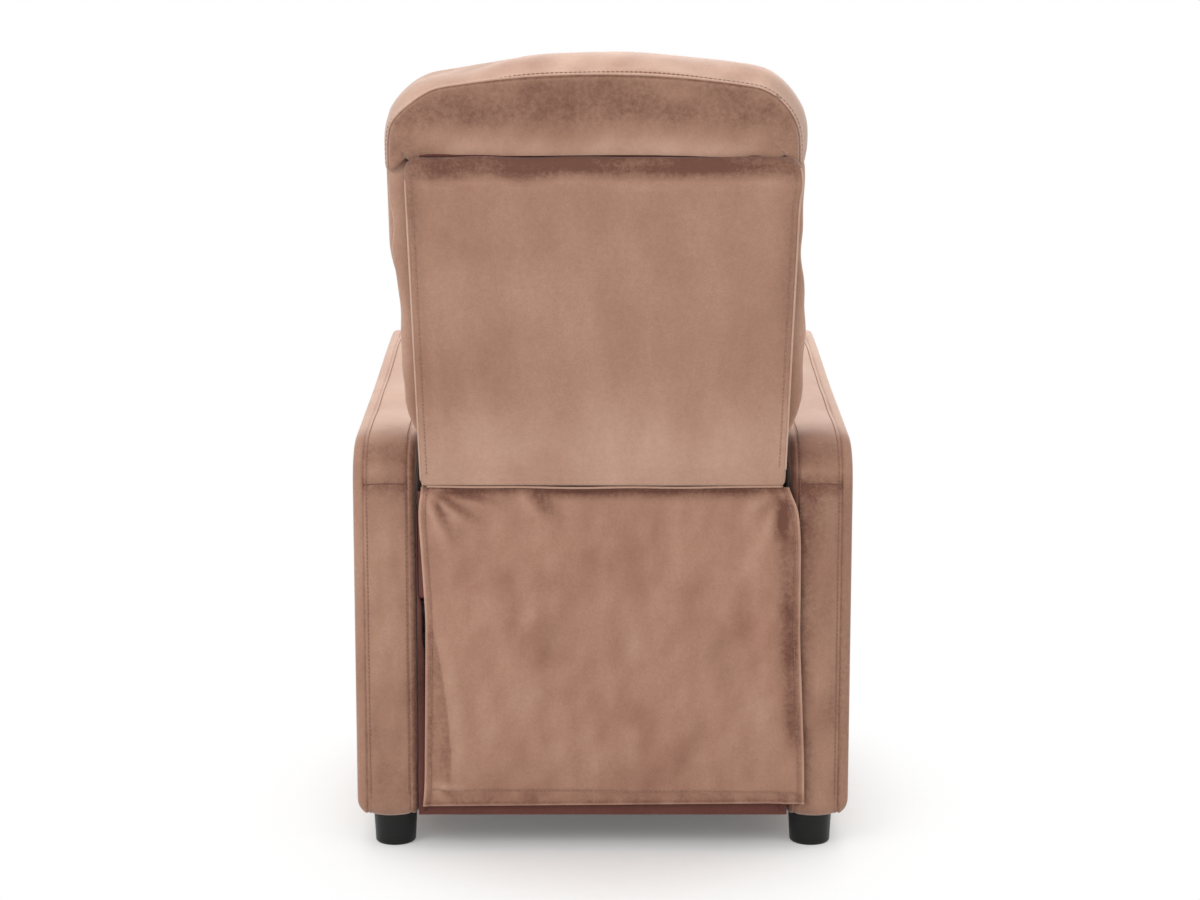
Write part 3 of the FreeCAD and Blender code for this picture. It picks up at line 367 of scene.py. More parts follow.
@dataclass(frozen=True)
class Woven(Finish):
    """Coarse woven cloth: straps and hook-and-loop strip."""

    colour: Colour
    line: Colour
    scale: float
    fuzz: float = 0.3

    def material(self) -> Material:
        """Builds the weave from crossing bands and some loose fibre.

        Returns:
            The material.
        """
        s, place = self.start()
        weave = s.wave(place, self.scale, "X", 0.4) * s.wave(place, self.scale, "Z", 0.4)
        fibre = s.noise(place, 700.0, detail=3.0, rough=0.7)
        worn = s.noise(place, 14.0, detail=3.0, rough=0.6)
        tone = weave * (1.0 - self.fuzz) + fibre * self.fuzz + (worn - 0.5) * 0.3
        return s.surface(
            Base_Color=s.mix(tone, self.colour, self.line),
            Roughness=0.85 - weave * 0.15,
            Normal=s.bump(weave + fibre * 0.5, 0.5, 0.0007),
            Specular_IOR_Level=0.2,
        )


@dataclass(frozen=True)
class Timber(Finish):
    """Sawn wood: growth rings for a rail, thin layers for plywood."""

    pale: Colour
    dark: Colour
    layered: bool = False

    def material(self) -> Material:
        """Builds the grain along X, or plywood's layers through its thickness.

        Returns:
            The material.
        """
        s, place = self.start()
        grain = s.noise(s.stretched(place, 9.0, 120.0, 120.0), 1.0, detail=4.0, rough=0.6)
        rings = s.wave(s.stretched(place, 0.6, 9.0, 9.0), 2.4, "DIAGONAL", 7.0)
        pores = s.noise(s.stretched(place, 60.0, 900.0, 900.0), 1.0, rough=0.6).ramp(0.58, 0.7)
        figure = grain * 0.6 + rings * 0.4
        if self.layered:
            plies = s.wave(place, 115.0, "Y", 0.2)
            figure = figure * 0.55 + plies.ramp(0.35, 0.65) * 0.45
        colour = s.mix(figure, self.pale, self.dark)
        return s.surface(
            Base_Color=s.mix(pores * 0.45, colour, tuple(c * 0.5 for c in self.dark)),
            Roughness=0.58 + grain * 0.2,
            Normal=s.bump(grain - pores * 0.6, 0.3, 0.0006),
            Specular_IOR_Level=0.35,
        )


@dataclass(frozen=True)
class Metal(Finish):
    """Pressed or turned steel, painted or plated."""

    colour: Colour
    worn: Colour
    metallic: float
    rough: float

    def material(self) -> Material:
        """Builds the metal with brushed marks, smears and rubbed spots.

        Returns:
            The material.
        """
        s, place = self.start()
        marks = s.noise(s.stretched(place, 40.0, 700.0, 40.0), 1.0, detail=3.0, rough=0.6)
        smears = s.noise(place, 22.0, detail=4.0, rough=0.6)
        peel = s.noise(place, 420.0)
        rubbed = s.noise(place, 34.0, detail=5.0, rough=0.7).ramp(0.66, 0.76)
        return s.surface(
            Base_Color=s.mix(rubbed * 0.5 + (marks - 0.5) * 0.2, self.colour, self.worn),
            Metallic=self.metallic,
            Roughness=self.rough + (smears - 0.5) * 0.22 + (marks - 0.5) * 0.1,
            Normal=s.bump(peel * 0.6 + marks * 0.4, 0.12, 0.0004),
        )


@dataclass(frozen=True)
class Plastic(Finish):
    """Moulded plastic with a fine satin grain."""

    colour: Colour
    rough: float
    gloss: float

    def material(self) -> Material:
        """Builds the plastic with grain, scuffs and a trace of dust.

        Returns:
            The material.
        """
        s, place = self.start()
        grain = s.noise(place, 1300.0, rough=0.6)
        scuffs = s.noise(s.stretched(place, 30.0, 30.0, 220.0), 1.0, detail=4.0, rough=0.7).ramp(0.6, 0.75)
        dust = s.noise(place, 40.0, detail=3.0, rough=0.6)
        pale = tuple(c * 1.7 + 0.012 for c in self.colour)
        return s.surface(
            Base_Color=s.mix(scuffs * 0.35 + dust * 0.15, self.colour, pale),
            Roughness=self.rough + (dust - 0.5) * 0.16 + scuffs * 0.1,
            Normal=s.bump(grain, 0.18, 0.0003),
            Specular_IOR_Level=self.gloss,
        )


class Finishes:
    """Every finish of the chair, built once."""

    def __init__(self) -> None:
        """Builds the materials."""
        self.velvet = Velvet(
            "brown_rose_velvet",
            low=srgb(108, 71, 58),
            mid=srgb(163, 125, 105),
            high=srgb(202, 167, 148),
            rosy=srgb(172, 121, 102),
        ).material()
        self.loose = Velvet(
            "brown_rose_velvet_flap",
            low=srgb(108, 70, 57),
            mid=srgb(164, 124, 104),
            high=srgb(202, 166, 147),
            rosy=srgb(168, 116, 97),
            rose=0.48,
        ).material()
        # A darker copy of the velvet with little sheen: painted shade for cloth that lies in deep shadow.
        self.painted_shade_velvet = Velvet(
            "brown_rose_velvet_painted_shade",
            low=srgb(66, 34, 30),
            mid=srgb(100, 60, 53),
            high=srgb(128, 86, 75),
            rosy=srgb(106, 60, 53),
            sheen=0.1,
        ).material()
        self.thread = Thread("rose_thread", srgb(152, 112, 95)).material()
        others = {
            "webbing": Woven("elastic_webbing", srgb(58, 55, 52), srgb(98, 94, 90), scale=300.0),
            "loop_strip": Woven(
                "loop_strip_brown", srgb(84, 54, 48), srgb(120, 86, 78), scale=900.0, fuzz=0.7
            ),
            "hardwood": Timber("sawn_wood", srgb(205, 168, 122), srgb(156, 113, 72)),
            "plywood": Timber("birch_plywood", srgb(214, 182, 138), srgb(158, 118, 78), layered=True),
            "black_steel": Metal(
                "black_painted_steel", srgb(34, 34, 36), srgb(92, 90, 88), metallic=0.35, rough=0.42
            ),
            "zinc_steel": Metal(
                "zinc_plated_steel", srgb(176, 178, 182), srgb(206, 202, 190), metallic=0.95, rough=0.34
            ),
            "nylon": Plastic("white_nylon", srgb(222, 219, 210), rough=0.4, gloss=0.5),
            "black_plastic": Plastic("black_foot_plastic", srgb(18, 18, 18), rough=0.38, gloss=0.26),
        }
        self.by_slot = {VELVET_SLOT: self.velvet}
        self.by_slot |= {slot: finish.material() for slot, finish in others.items()}


def hump(value: Array, centre: float, width: float) -> Array:
    """Gives a soft bell of height 1 round a centre."""
    return np.exp(-(((value - centre) / width) ** 2))


def rise(value: Array, low: float, high: float) -> Array:
    """Rises smoothly from 0 at low to 1 at high, which may be the lesser."""
    t = np.clip((value - low) / (high - low), 0.0, 1.0)
    return t * t * (3.0 - 2.0 * t)


def fold(a: Array, b: Array, start: Pair, end: Pair, width: float, fade: float = 0.25) -> Array:
    """Gives a soft ridge of height 1 along a line.

    Args:
        a: the points' first coordinate.
        b: the points' second coordinate.
        start: where the ridge is tallest.
        end: where it has run out.
        width: its half width at the start; it widens to the end.
        fade: how much of its length it takes to grow at the start.

    Returns:
        The height at each point.
    """
    line = np.subtract(end, start)
    length = float(np.hypot(*line))
    along = ((a - start[0]) * line[0] + (b - start[1]) * line[1]) / length**2
    off = ((a - start[0]) * line[1] - (b - start[1]) * line[0]) / length
    shape = rise(along, -fade, fade) * (1.0 - rise(along, 0.25, 1.0))
    return shape * np.exp(-((off / (width * (1.0 + 0.8 * np.clip(along, 0, 1)))) ** 2))


def ripple(length: float, seed: int, *directions: Array) -> Array:
    """Gives smooth random unevenness between about -1 and 1.

    Args:
        length: the typical length of a wave, in metres.
        seed: the start of the random draws.
        directions: the points' coordinates, or one array with a row for each point.

    Returns:
        The unevenness at each point.
    """
    points = np.column_stack(directions)
    draw = np.random.default_rng(seed)
    total = np.zeros(len(points))
    waves = 7
    for _ in range(waves):
        way = draw.normal(size=points.shape[1])
        way /= np.linalg.norm(way) * length * draw.uniform(0.6, 1.6) / (2 * math.pi)
        total += np.sin(points @ way + draw.uniform(0, 2 * math.pi))
    return total / math.sqrt(waves) / 1.4


def reach_along(path: Array) -> Array:
    """Gives each point's distance from the path's start."""
    return np.concatenate([[0], np.cumsum(np.linalg.norm(np.diff(path, axis=0), axis=1))])


def read_along(rows: Array, reach: Array, places: Array) -> Array:
    """Reads a path's points, or what goes with them, at some distances from its start.

    Args:
        rows: one row for each point of the path.
        reach: each point's distance from the start.
        places: the distances to read at.

    Returns:
        One row for each distance.
    """
    return np.stack([np.interp(places, reach, column) for column in rows.T], -1)


def unit(vectors: Array) -> Array:
    """Brings each row to a length of 1."""
    return vectors / np.maximum(np.linalg.norm(vectors, axis=1), 1e-9)[:, None]


def quads(index: Array, row_first: bool = False) -> list[tuple[int, ...]]:
    """Lists the faces of a grid of point indices.

    Args:
        index: the grid.
        row_first: whether the way round each face starts along its row.

    Returns:
        The faces, row by row.
    """
    here, down, far, along = index[:-1, :-1], index[1:, :-1], index[1:, 1:], index[:-1, 1:]
    corners = (here, along, far, down) if row_first else (here, down, far, along)
    return [tuple(face) for face in np.stack(corners, -1).reshape(-1, 4).tolist()]


@dataclass
class Outline:
    """A four-cornered closed line with rounded corners, run anticlockwise."""

    corners: Pairs
    radii: Radii
    counts: Steps
    seam: tuple[int, float] | None = None

    ARC_STEPS = 16
    LEAST_RADIUS = 0.0015
    SEAM_SPREAD = 0.006

    @classmethod
    def box(cls, low: Pair, high: Pair, radii: Radii, counts: Steps) -> "Outline":
        """Makes a rectangle between two corners."""
        corners = [low, (high[0], low[1]), high, (low[0], high[1])]
        return cls(corners, radii, counts)

    def loop(self, inset: float) -> Array:
        """Gives the line's points.

        Args:
            inset: how far inside the outline the line runs.

        Returns:
            One row for each point; each side starts in the middle of its corner.
        """
        corners = np.array(self.corners, float)
        way = unit(np.roll(corners, -1, 0) - corners)
        inward = np.stack([-way[:, 1], way[:, 0]], 1)
        arcs = []
        for i, corner in enumerate(corners):
            d0, d1, n0, n1 = way[i - 1], way[i], inward[i - 1], inward[i]
            corner = corner + inset * (n0 + n1) / (1.0 + n0 @ n1)
            turn = math.atan2(d0[0] * d1[1] - d0[1] * d1[0], float(d0 @ d1))
            radius = max(self.radii[i] - inset, self.LEAST_RADIUS)
            centre = corner - d0 * radius * math.tan(turn / 2) + n0 * radius
            phi = np.linspace(0, turn, self.ARC_STEPS + 1)[:, None]
            arcs.append(centre + radius * (-n0 * np.cos(phi) + d0 * np.sin(phi)))
        points = []
        half = self.ARC_STEPS // 2
        for i in range(4):
            line = np.concatenate([arcs[i][half:], arcs[(i + 1) % 4][: half + 1]])
            reach = reach_along(line)
            points.append(read_along(line, reach, self.shares(i) * reach[-1]))
        return np.concatenate(points)

    def shares(self, side: int) -> Array:
        """Spreads a side's points, close together at a seam.

        Args:
            side: the side's number, from 0 to 3.

        Returns:
            The points' places, as shares of the side's length.
        """
        share = np.linspace(0, 1, self.counts[side % 2] + 1)
        if self.seam and self.seam[0] == side:
            k = int(np.argmin(np.abs(share - self.seam[1])))
            share[k - 1 : k + 2] = self.seam[1] + self.SEAM_SPREAD * np.array([-1.0, 0.0, 1.0])
        return share[:-1]

    def seam_column(self) -> int:
        """Gives the number of the seam's point in each loop.

        Returns:
            The number.
        """
        n, m = self.counts
        side, spot = self.seam
        first = (0, n, n + m, 2 * n + m)[side]
        return first + int(np.argmin(np.abs(self.shares(side) - spot)))


class Skin:
    """A closed soft form, made of loops from one end to the other and a filled grid at each end."""

    FIRST_END, LOOPS, LAST_END = 0, 1, 2

    def __init__(self, outline: Outline, sections: Pairs) -> None:
        """Makes the form.

        Args:
            outline: the line that each loop follows.
            sections: each loop's inset and its place from one end to the other.
        """
        n, m = outline.counts
        self.ring, self.rings = 2 * (n + m), len(sections)
        loops = [
            np.column_stack([outline.loop(inset), np.full(self.ring, depth)])
            for inset, depth in sections
        ]
        index = np.arange(self.rings * self.ring).reshape(self.rings, self.ring)
        self.faces = quads(np.column_stack([index, index[:, 0]]), row_first=True)
        parts = [np.full(self.ring, self.LOOPS)] * self.rings
        insets = [np.full(self.ring, inset) for inset, _ in sections]
        count = index.size
        for k, part in ((0, self.FIRST_END), (self.rings - 1, self.LAST_END)):
            grid, inner = self._fill(loops[k], n, m, k * self.ring, count)
            loops.append(inner)
            parts.append(np.full(len(inner), part))
            insets.append(np.full(len(inner), sections[k][0]))
            count += len(inner)
            self.faces += quads(grid)
        self.local = np.concatenate(loops)
        self.part = np.concatenate(parts)
        self.inset = np.concatenate(insets)
        self.points = self.local.copy()
        # Painted light and shade for each point, mixed with random brushing of the pile, -1 dark to 1
        # light.
        self.painted_shading_and_nap = np.zeros(count)
        self.loop_of = np.where(self.part == self.LOOPS, np.arange(count) // self.ring, -1)

    @staticmethod
    def _fill(loop: Array, n: int, m: int, first: int, free: int) -> tuple[Array, Array]:
        """Fills a loop with a grid.

        Args:
            loop: the loop's points.
            n: steps along its first and third side.
            m: steps along its second and fourth side.
            first: the index of the loop's first point.
            free: the first index that is free for new points.

        Returns:
            The grid of indices, and the new points.
        """
        edge = [(i, 0) for i in range(n)] + [(n, j) for j in range(m)]
        edge += [(n - i, m) for i in range(n)] + [(0, m - j) for j in range(m)]
        rim = tuple(zip(*edge))
        net, grid = np.zeros((n + 1, m + 1, 3)), np.zeros((n + 1, m + 1), int)
        net[rim], grid[rim] = loop, first + np.arange(len(loop))
        grid[1:n, 1:m] = free + np.arange((n - 1) * (m - 1)).reshape(n - 1, m - 1)
        u, v = np.linspace(0, 1, n + 1)[:, None, None], np.linspace(0, 1, m + 1)[None, :, None]
        net = (
            (1 - v) * net[:, :1]
            + v * net[:, -1:]
            + (1 - u) * net[:1]
            + u * net[-1:]
            - (1 - u) * ((1 - v) * net[0, 0] + v * net[0, -1])
            - u * ((1 - v) * net[-1, 0] + v * net[-1, -1])
        )
        return grid, net[1:n, 1:m].reshape(-1, 3)

    def row(self, loop: int, start: int = 0, end: int | None = None) -> slice:
        """Picks points of one loop.

        Args:
            loop: the loop's number.
            start: the first point.
            end: the point after the last, the loop's end if it isn't given, counted back if negative.

        Returns:
            The points' indices.
        """
        end = self.ring if end is None else end + self.ring * (end < 0)
        return slice(loop * self.ring + start, loop * self.ring + end)

    def swell(self, part: int, amount: float, power: float = 2.0) -> None:
        """Crowns an end, most in its middle.

        Args:
            part: which end.
            amount: how far its middle moves along the third direction.
            power: how flat the crown's top is.
        """
        a, b = self.local[:, 0], self.local[:, 1]
        u = (2 * a - a.max() - a.min()) / (a.max() - a.min())
        v = (2 * b - b.max() - b.min()) / (b.max() - b.min())
        crown = np.clip(1 - np.abs(u) ** power, 0, 1) * np.clip(1 - np.abs(v) ** power, 0, 1)
        self.points[:, 2] += np.where(self.part == part, amount * crown, 0.0)

    def place(self, where: Callable[[Array, Array, Array], Array]) -> None:
        """Moves the form from its own directions into the chair."""
        self.points = where(*self.points.T)

    def join(self, other: "Skin") -> None:
        """Takes in another form's points and faces.

        Args:
            other: the other form, which stays as it is.
        """
        self.faces += [tuple(i + len(self.points) for i in face) for face in other.faces]
        self.points = np.concatenate([self.points, other.points])
        self.painted_shading_and_nap = np.concatenate([self.painted_shading_and_nap, other.painted_shading_and_nap])

    def puff(self, held: Array, pressure: float, furthest: float) -> None:
        """Blows the form up as cloth, and keeps the result.

        Args:
            held: which points stay where they are, from 0 to 1.
            pressure: the pressure inside.
            furthest: the furthest that a point may move, in metres.
        """
        frames = 20
        mesh = bpy.data.meshes.new("pressed")
        mesh.from_pydata(self.points.tolist(), [], self.faces)
        obj = bpy.data.objects.new("pressed", mesh)
        bpy.context.collection.objects.link(obj)
        group = obj.vertex_groups.new(name="held")
        for index in np.nonzero(held > 0.01)[0]:
            group.add([int(index)], float(held[index]), "REPLACE")
        right_way(mesh)
        cloth = obj.modifiers.new("cloth", "CLOTH")
        rules = cloth.settings
        rules.quality, rules.mass = 6, 0.25
        rules.tension_stiffness = rules.compression_stiffness = 18.0
        rules.shear_stiffness, rules.bending_stiffness = 6.0, 0.6
        rules.use_pressure, rules.uniform_pressure_force = True, pressure
        rules.vertex_group_mass = "held"
        rules.effector_weights.gravity = 0.0
        cloth.collision_settings.use_collision = False
        cloth.point_cache.frame_start, cloth.point_cache.frame_end = 1, frames
        scene = bpy.context.scene
        for step in range(1, frames + 1):
            scene.frame_set(step)
        seen = obj.evaluated_get(bpy.context.evaluated_depsgraph_get())
        moved = np.array([v.co for v in seen.data.vertices]) - self.points
        size = np.linalg.norm(moved, axis=1)[:, None]
        self.points = self.points + moved * np.minimum(1.0, furthest / np.maximum(size, 1e-9))
        LOG.info("cloth settled, up to %.1f mm", float(size.max()) * 1000)
        bpy.data.objects.remove(obj)
        bpy.data.meshes.remove(mesh)
        scene.frame_set(1)


def right_way(mesh: bpy.types.Mesh) -> None:
    """Turns every face of a mesh outwards.

    Args:
        mesh: the mesh.
    """
    work = bmesh.new()
    work.from_mesh(mesh)
    bmesh.ops.recalc_face_normals(work, faces=work.faces)
    work.to_mesh(mesh)
    work.free()


@dataclass
class Maker:
    """Turns forms into the chair's pieces."""

    finishes: Finishes

    def mesh_piece(
        self,
        name: str,
        points: Array,
        faces: Sequence[tuple[int, ...]],
        material: Material,
        painted_shading_and_nap: Array,
        body: Body | None = None,
        smoother: bool = False,
    ) -> Piece:
        """Makes a smooth mesh piece with one finish.

        Args:
            name: the piece's name.
            points: its points in metres.
            faces: its faces as indices.
            material: its finish.
            painted_shading_and_nap: painted light and shade at each point, mixed with random brushing of
                the pile, -1 dark to 1 light.
            body: the body that it rides on, or None where it hangs between two.
            smoother: whether it is subdivided once.

        Returns:
            The piece, with its subdivision applied; its first points are the given ones.
        """
        mesh = bpy.data.meshes.new(name)
        mesh.from_pydata(points.tolist(), [], faces)
        right_way(mesh)
        # The attribute carries painted light and shade into the velvet's colour.
        brushed = mesh.attributes.new("painted_shading_and_nap", "FLOAT", "POINT")
        brushed.data.foreach_set("value", painted_shading_and_nap.astype(np.float32))
        mesh.polygons.foreach_set("use_smooth", np.ones(len(mesh.polygons), bool))
        mesh.materials.append(material)
        obj = bpy.data.objects.new(name, mesh)
        bpy.context.collection.objects.link(obj)
        if smoother:
            finer = obj.modifiers.new("finer", "SUBSURF")
            finer.levels = finer.render_levels = 1
            seen = obj.evaluated_get(bpy.context.evaluated_depsgraph_get())
            obj.data = bpy.data.meshes.new_from_object(seen)
            obj.data.name = name
            obj.modifiers.clear()
            bpy.data.meshes.remove(mesh)
        if body:
            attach(obj, body.value)
        LOG.info("%s: %d points", name, len(obj.data.vertices))
        return obj

    def skin_piece(
        self, name: str, skin: Skin, body: Body, material: Material | None = None
    ) -> Piece:
        """Makes a piece from a form, in velvet unless a material is given."""
        cloth = material or self.finishes.velvet
        return self.mesh_piece(name, skin.points, skin.faces, cloth, skin.painted_shading_and_nap, body, smoother=True)

    def soft_piece(
        self, name: str, skin: Skin, body: Body, node: str, fill: float
    ) -> tuple[Array, Array]:
        """Makes a padded velvet piece that stands for a CAD node.

        Args:
            name: the piece's name.
            skin: its form.
            body: the body that it rides on.
            node: the CAD node that it stands for.
            fill: how tight the padding is, from 0 to 1; not used.

        Returns:
            Its points and their outward directions, the form's own points first.
        """
        obj = self.skin_piece(name, skin, body)
        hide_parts(node)
        mesh = obj.data
        points, out = np.zeros((2, len(mesh.vertices) * 3))
        mesh.vertices.foreach_get("co", points)
        mesh.vertices.foreach_get("normal", out)
        return points.reshape(-1, 3), out.reshape(-1, 3)


class Sewing:
    """Piping and stitches that go into one piece."""

    STITCH, GAP, THREAD_RADIUS = 0.0042, 0.0014, 0.00055
    # How far a stitch stands out of the cloth along its length, in thread radii.
    STITCH_ARCH = (-0.35, 0.75, 0.9, 0.75, -0.35)

    def __init__(self, maker: Maker) -> None:
        """Starts with nothing sewn.

        Args:
            maker: what makes the piece.
        """
        self.maker = maker
        self.points: list[Array] = []
        self.faces: list[tuple[int, ...]] = []
        self.count = 0

    def _tube(self, path: Array, across: Array, up: Array, radius: float, sides: int, closed: bool) -> None:
        """Adds a tube.

        Args:
            path: its middle line.
            across: at each point, one direction square to the path.
            up: at each point, another.
            radius: its radius in metres.
            sides: how many sides it has.
            closed: whether it comes back to its start.
        """
        phi = np.linspace(0, 2 * math.pi, sides, endpoint=False)[None, :, None]
        rings = path[:, None] + radius * (across[:, None] * np.cos(phi) + up[:, None] * np.sin(phi))
        k = len(rings)
        index = self.count + np.arange(k * sides).reshape(k, sides)
        rows = np.concatenate([index, index[:1]]) if closed else index
        self.faces += quads(np.column_stack([rows, rows[:, 0]]), row_first=True)
        if not closed:
            self.faces += [tuple(index[end].tolist()) for end in (0, -1)]
        self.points.append(rings.reshape(-1, 3))
        self.count += k * sides

    def pipe(self, path: Array, radius: float, sides: int = 8, closed: bool = False) -> None:
        """Adds a round tube along a path.

        Args:
            path: its points.
            radius: its radius in metres.
            sides: how many sides it has.
            closed: whether it comes back to its start.
        """
        along = np.roll(path, -1, 0) - np.roll(path, 1, 0)
        if not closed:
            along[0], along[-1] = path[1] - path[0], path[-1] - path[-2]
        along = unit(along)
        aside = np.where(np.abs(along[:, :1]) < 0.8, [[1.0, 0, 0]], [[0, 0, 1.0]])
        across = unit(np.cross(along, aside))
        self._tube(path, across, np.cross(along, across), radius, sides, closed)

    def stitch(self, path: Array, out: Array) -> None:
        """Adds a row of stitches along a path.

        Args:
            path: the seam's points.
            out: the cloth's outward direction at each.
        """
        reach = reach_along(path)
        steps = len(self.STITCH_ARCH)
        arch = self.THREAD_RADIUS * np.array(self.STITCH_ARCH)
        for start in np.arange(self.GAP, reach[-1] - self.STITCH, self.STITCH + self.GAP):
            where = start + self.STITCH * np.linspace(0, 1, steps)
            centre, up = (read_along(rows, reach, where) for rows in (path, out))
            side = unit(np.cross(unit(centre[-1:] - centre[:1]), up))
            self._tube(centre + up * arch[:, None], side, up, self.THREAD_RADIUS, steps, False)

    def finish(
        self, name: str, body: Body | None, material: Material, painted_shading_and_nap: float = 0.0
    ) -> Piece:
        """Makes the piece.

        Args:
            name: the piece's name.
            body: the body that it rides on, or None where it hangs between two.
            material: its finish.
            painted_shading_and_nap: how light or dark the velvet is painted, as painted light and shade, if
                it is velvet.

        Returns:
            The piece.
        """
        points = np.concatenate(self.points)
        return self.maker.mesh_piece(name, points, self.faces, material, np.full(len(points), painted_shading_and_nap), body)


def on_back(x: Array, w: Array, q: Array) -> Array:
    """Puts points on the leaning back.

    Args:
        x: across.
        w: up along the back.
        q: forward of the rear panel's face.

    Returns:
        The points in the chair's frame.
    """
    deep = PANEL_FACE - q
    y = BACK_FOOT_Y + deep * math.cos(LEAN) + w * math.sin(LEAN)
    z = BACK_FOOT_Z - deep * math.sin(LEAN) + w * math.cos(LEAN)
    return np.column_stack([x, y, z])


def from_rear(d: Array, z: Array, x: Array) -> Array:
    """Puts points in the chair, from their distance before the arms' rear face, height and place across."""
    return np.column_stack([x, ARM_REAR_Y - d, z])


def roll_sections(half: float, ends: Pairs, steps: int) -> list[Pair]:
    """Lists a roll's sections, drawn in at both ends.

    Args:
        half: half the roll's length.
        ends: each end section's inset and its distance from the end.
        steps: how many sections lie between the ends.

    Returns:
        The sections from one end to the other.
    """
    gap = 0.012
    inside = half - ends[-1][1] - gap
    first = [(i, -half + a) for i, a in ends]
    last = [(i, half - a) for i, a in reversed(ends)]
    return first + [(0.0, float(c)) for c in np.linspace(-inside, inside, steps)] + last


@dataclass
class Arms:
    """The two padded arms: side covers sewn to a band that runs over the top and down the ends."""

    maker: Maker
    inner: float = 0.242
    depth: float = 0.655
    foot: float = 0.045
    rear_height: float = 0.540
    front_height: float = 0.630
    front_rise: float = 0.0065
    seam_height: float = 0.4866
    inner_seam: float = 0.0105
    stitch_line: float = 0.0625
    outer_seam: float = 0.0672
    shade_sheet_gap: float = 0.0002
    seam_radius: float = 0.0008
    crown: float = 0.0035
    radii: Radii = (0.014, 0.014, 0.045, 0.060)
    steps: Steps = (66, 54)
    # The outline's rear side, and the cross seam's place along it.
    seam: tuple[int, float] = (3, 0.0911)

    # Each loop's inset and its distance from the inner face.
    SECTIONS = (
        (0.0200, 0.0000), (0.0085, 0.0002), (0.0036, 0.0014), (0.0012, 0.0036), (0.0003, 0.0064),
        (0.0000, 0.0090), (0.0017, 0.0105), (-0.0002, 0.0120), (-0.0016, 0.0180), (-0.0026, 0.0280),
        (-0.0030, 0.0380), (-0.0026, 0.0480), (-0.0015, 0.0560), (-0.0007, 0.0606), (0.0005, 0.0625),
        (-0.0003, 0.0644), (0.0001, 0.0658), (0.0019, 0.0672), (0.0000, 0.0686), (0.0000, 0.0720),
        (0.0008, 0.0758), (0.0026, 0.0790), (0.0058, 0.0808), (0.0105, 0.0815), (0.0240, 0.0817),
    )
    # The loops of two rows of stitches, and those that the cross seam runs over.
    STITCHED, BAND = (14, 7), range(6, 18)
    # The dark sheets of painted shade inside the rear edges and on the inner faces, in side view and in
    # section.
    RETURN_BOX, RETURN_RADII = ((0.0022, 0.052), (0.0260, 0.455)), (0.003, 0.003, 0.006, 0.006)
    GAP_SHADE_SECTIONS = (
        (0.0010, 0.0), (0.0, 0.0008), (0.0, 0.0030), (0.0, 0.0052), (0.0006, 0.0064), (0.0022, 0.0070)
    )
    INNER_SHADE_CORNERS = ((0.002, 0.400), (0.150, 0.400), (0.150, 0.545), (0.010, 0.500))
    INNER_SHADE_RADII = (0.002, 0.002, 0.004, 0.010)
    INNER_SHADE_SECTIONS = ((0.002, 0.0), (0.0, 0.0003), (0.0, 0.0007), (0.002, 0.0009))

    def outline(self) -> Outline:
        """Gives the arm's side view: forward from the rear face, and up.

        Returns:
            The outline.
        """
        corners = [
            (0.0, self.foot),
            (self.depth, self.foot),
            (self.depth, self.front_height),
            (0.0, self.rear_height),
        ]
        return Outline(corners, self.radii, self.steps, self.seam)

    def skin(self, side: int) -> Skin:
        """Forms one arm.

        Args:
            side: 1 for the sitter's left, -1 for the right.

        Returns:
            The arm in the chair's frame.
        """
        skin = Skin(self.outline(), self.SECTIONS)
        skin.swell(Skin.LAST_END, self.crown, power=4.0)
        d, z, t = skin.points.T.copy()
        to_d, to_z, to_t = skin.points.T
        loops = skin.part == Skin.LOOPS
        rear = (1 - rise(d, 0.02, 0.05)) * loops
        band = rise(t, 0.009, 0.012) * (1 - rise(t, 0.066, 0.069))
        lower = rise(z, self.seam_height + 0.001, self.seam_height - 0.010)
        # The rear end: its cross seam, the bulge below that, and some unevenness.
        to_d += rear * band * 0.0030 * hump(z, self.seam_height, 0.0035)
        to_d -= rear * band * 0.0016 * lower * (1 - rise(z, 0.40, 0.20))
        to_d += rear * band * 0.0010 * ripple(0.16, 11 + side, skin.local[:, 1:])
        # The top: higher to the front, and uneven along the band.
        top = rise(z - d * 0.137, 0.50, 0.535)
        to_z += top * self.front_rise * rise(d, 0.28, 0.56)
        to_z += top * band * 0.0018 * ripple(0.13, 17 + side, skin.local[:, [0, 2]])
        # The outer side: uneven, and drawn in at its foot.
        outside = skin.part == Skin.LAST_END
        to_t += np.where(outside, 0.0016 * ripple(0.22, 23 + side, skin.local[:, :2]), 0.0)
        to_t -= 0.006 * rise(t, 0.068, 0.080) * rise(z, 0.062, 0.046)
        # Painted light and shade: lighter on the top where light falls, painted shade in the seams and at
        # the rear end's inner edge, and random patches of the pile.
        skin.painted_shading_and_nap = 0.60 * top * rise(d, 0.040, 0.10) + self._rear_painted_shade(skin, side, rear, band)
        for seam, dark in ((self.inner_seam, 0.45), (self.stitch_line, 0.12), (self.outer_seam, 0.45)):
            skin.painted_shading_and_nap -= dark * hump(t, seam, 0.0011) * loops
        skin.painted_shading_and_nap += 0.16 * ripple(0.19, 31 + side, skin.local) * (0.6 + 0.4 * rear)
        skin.painted_shading_and_nap -= 0.70 * rear * (1 - rise(t, 0.0050, 0.0100))
        skin.place(lambda d, z, t: from_rear(d, z, side * (self.inner + t)))
        return skin

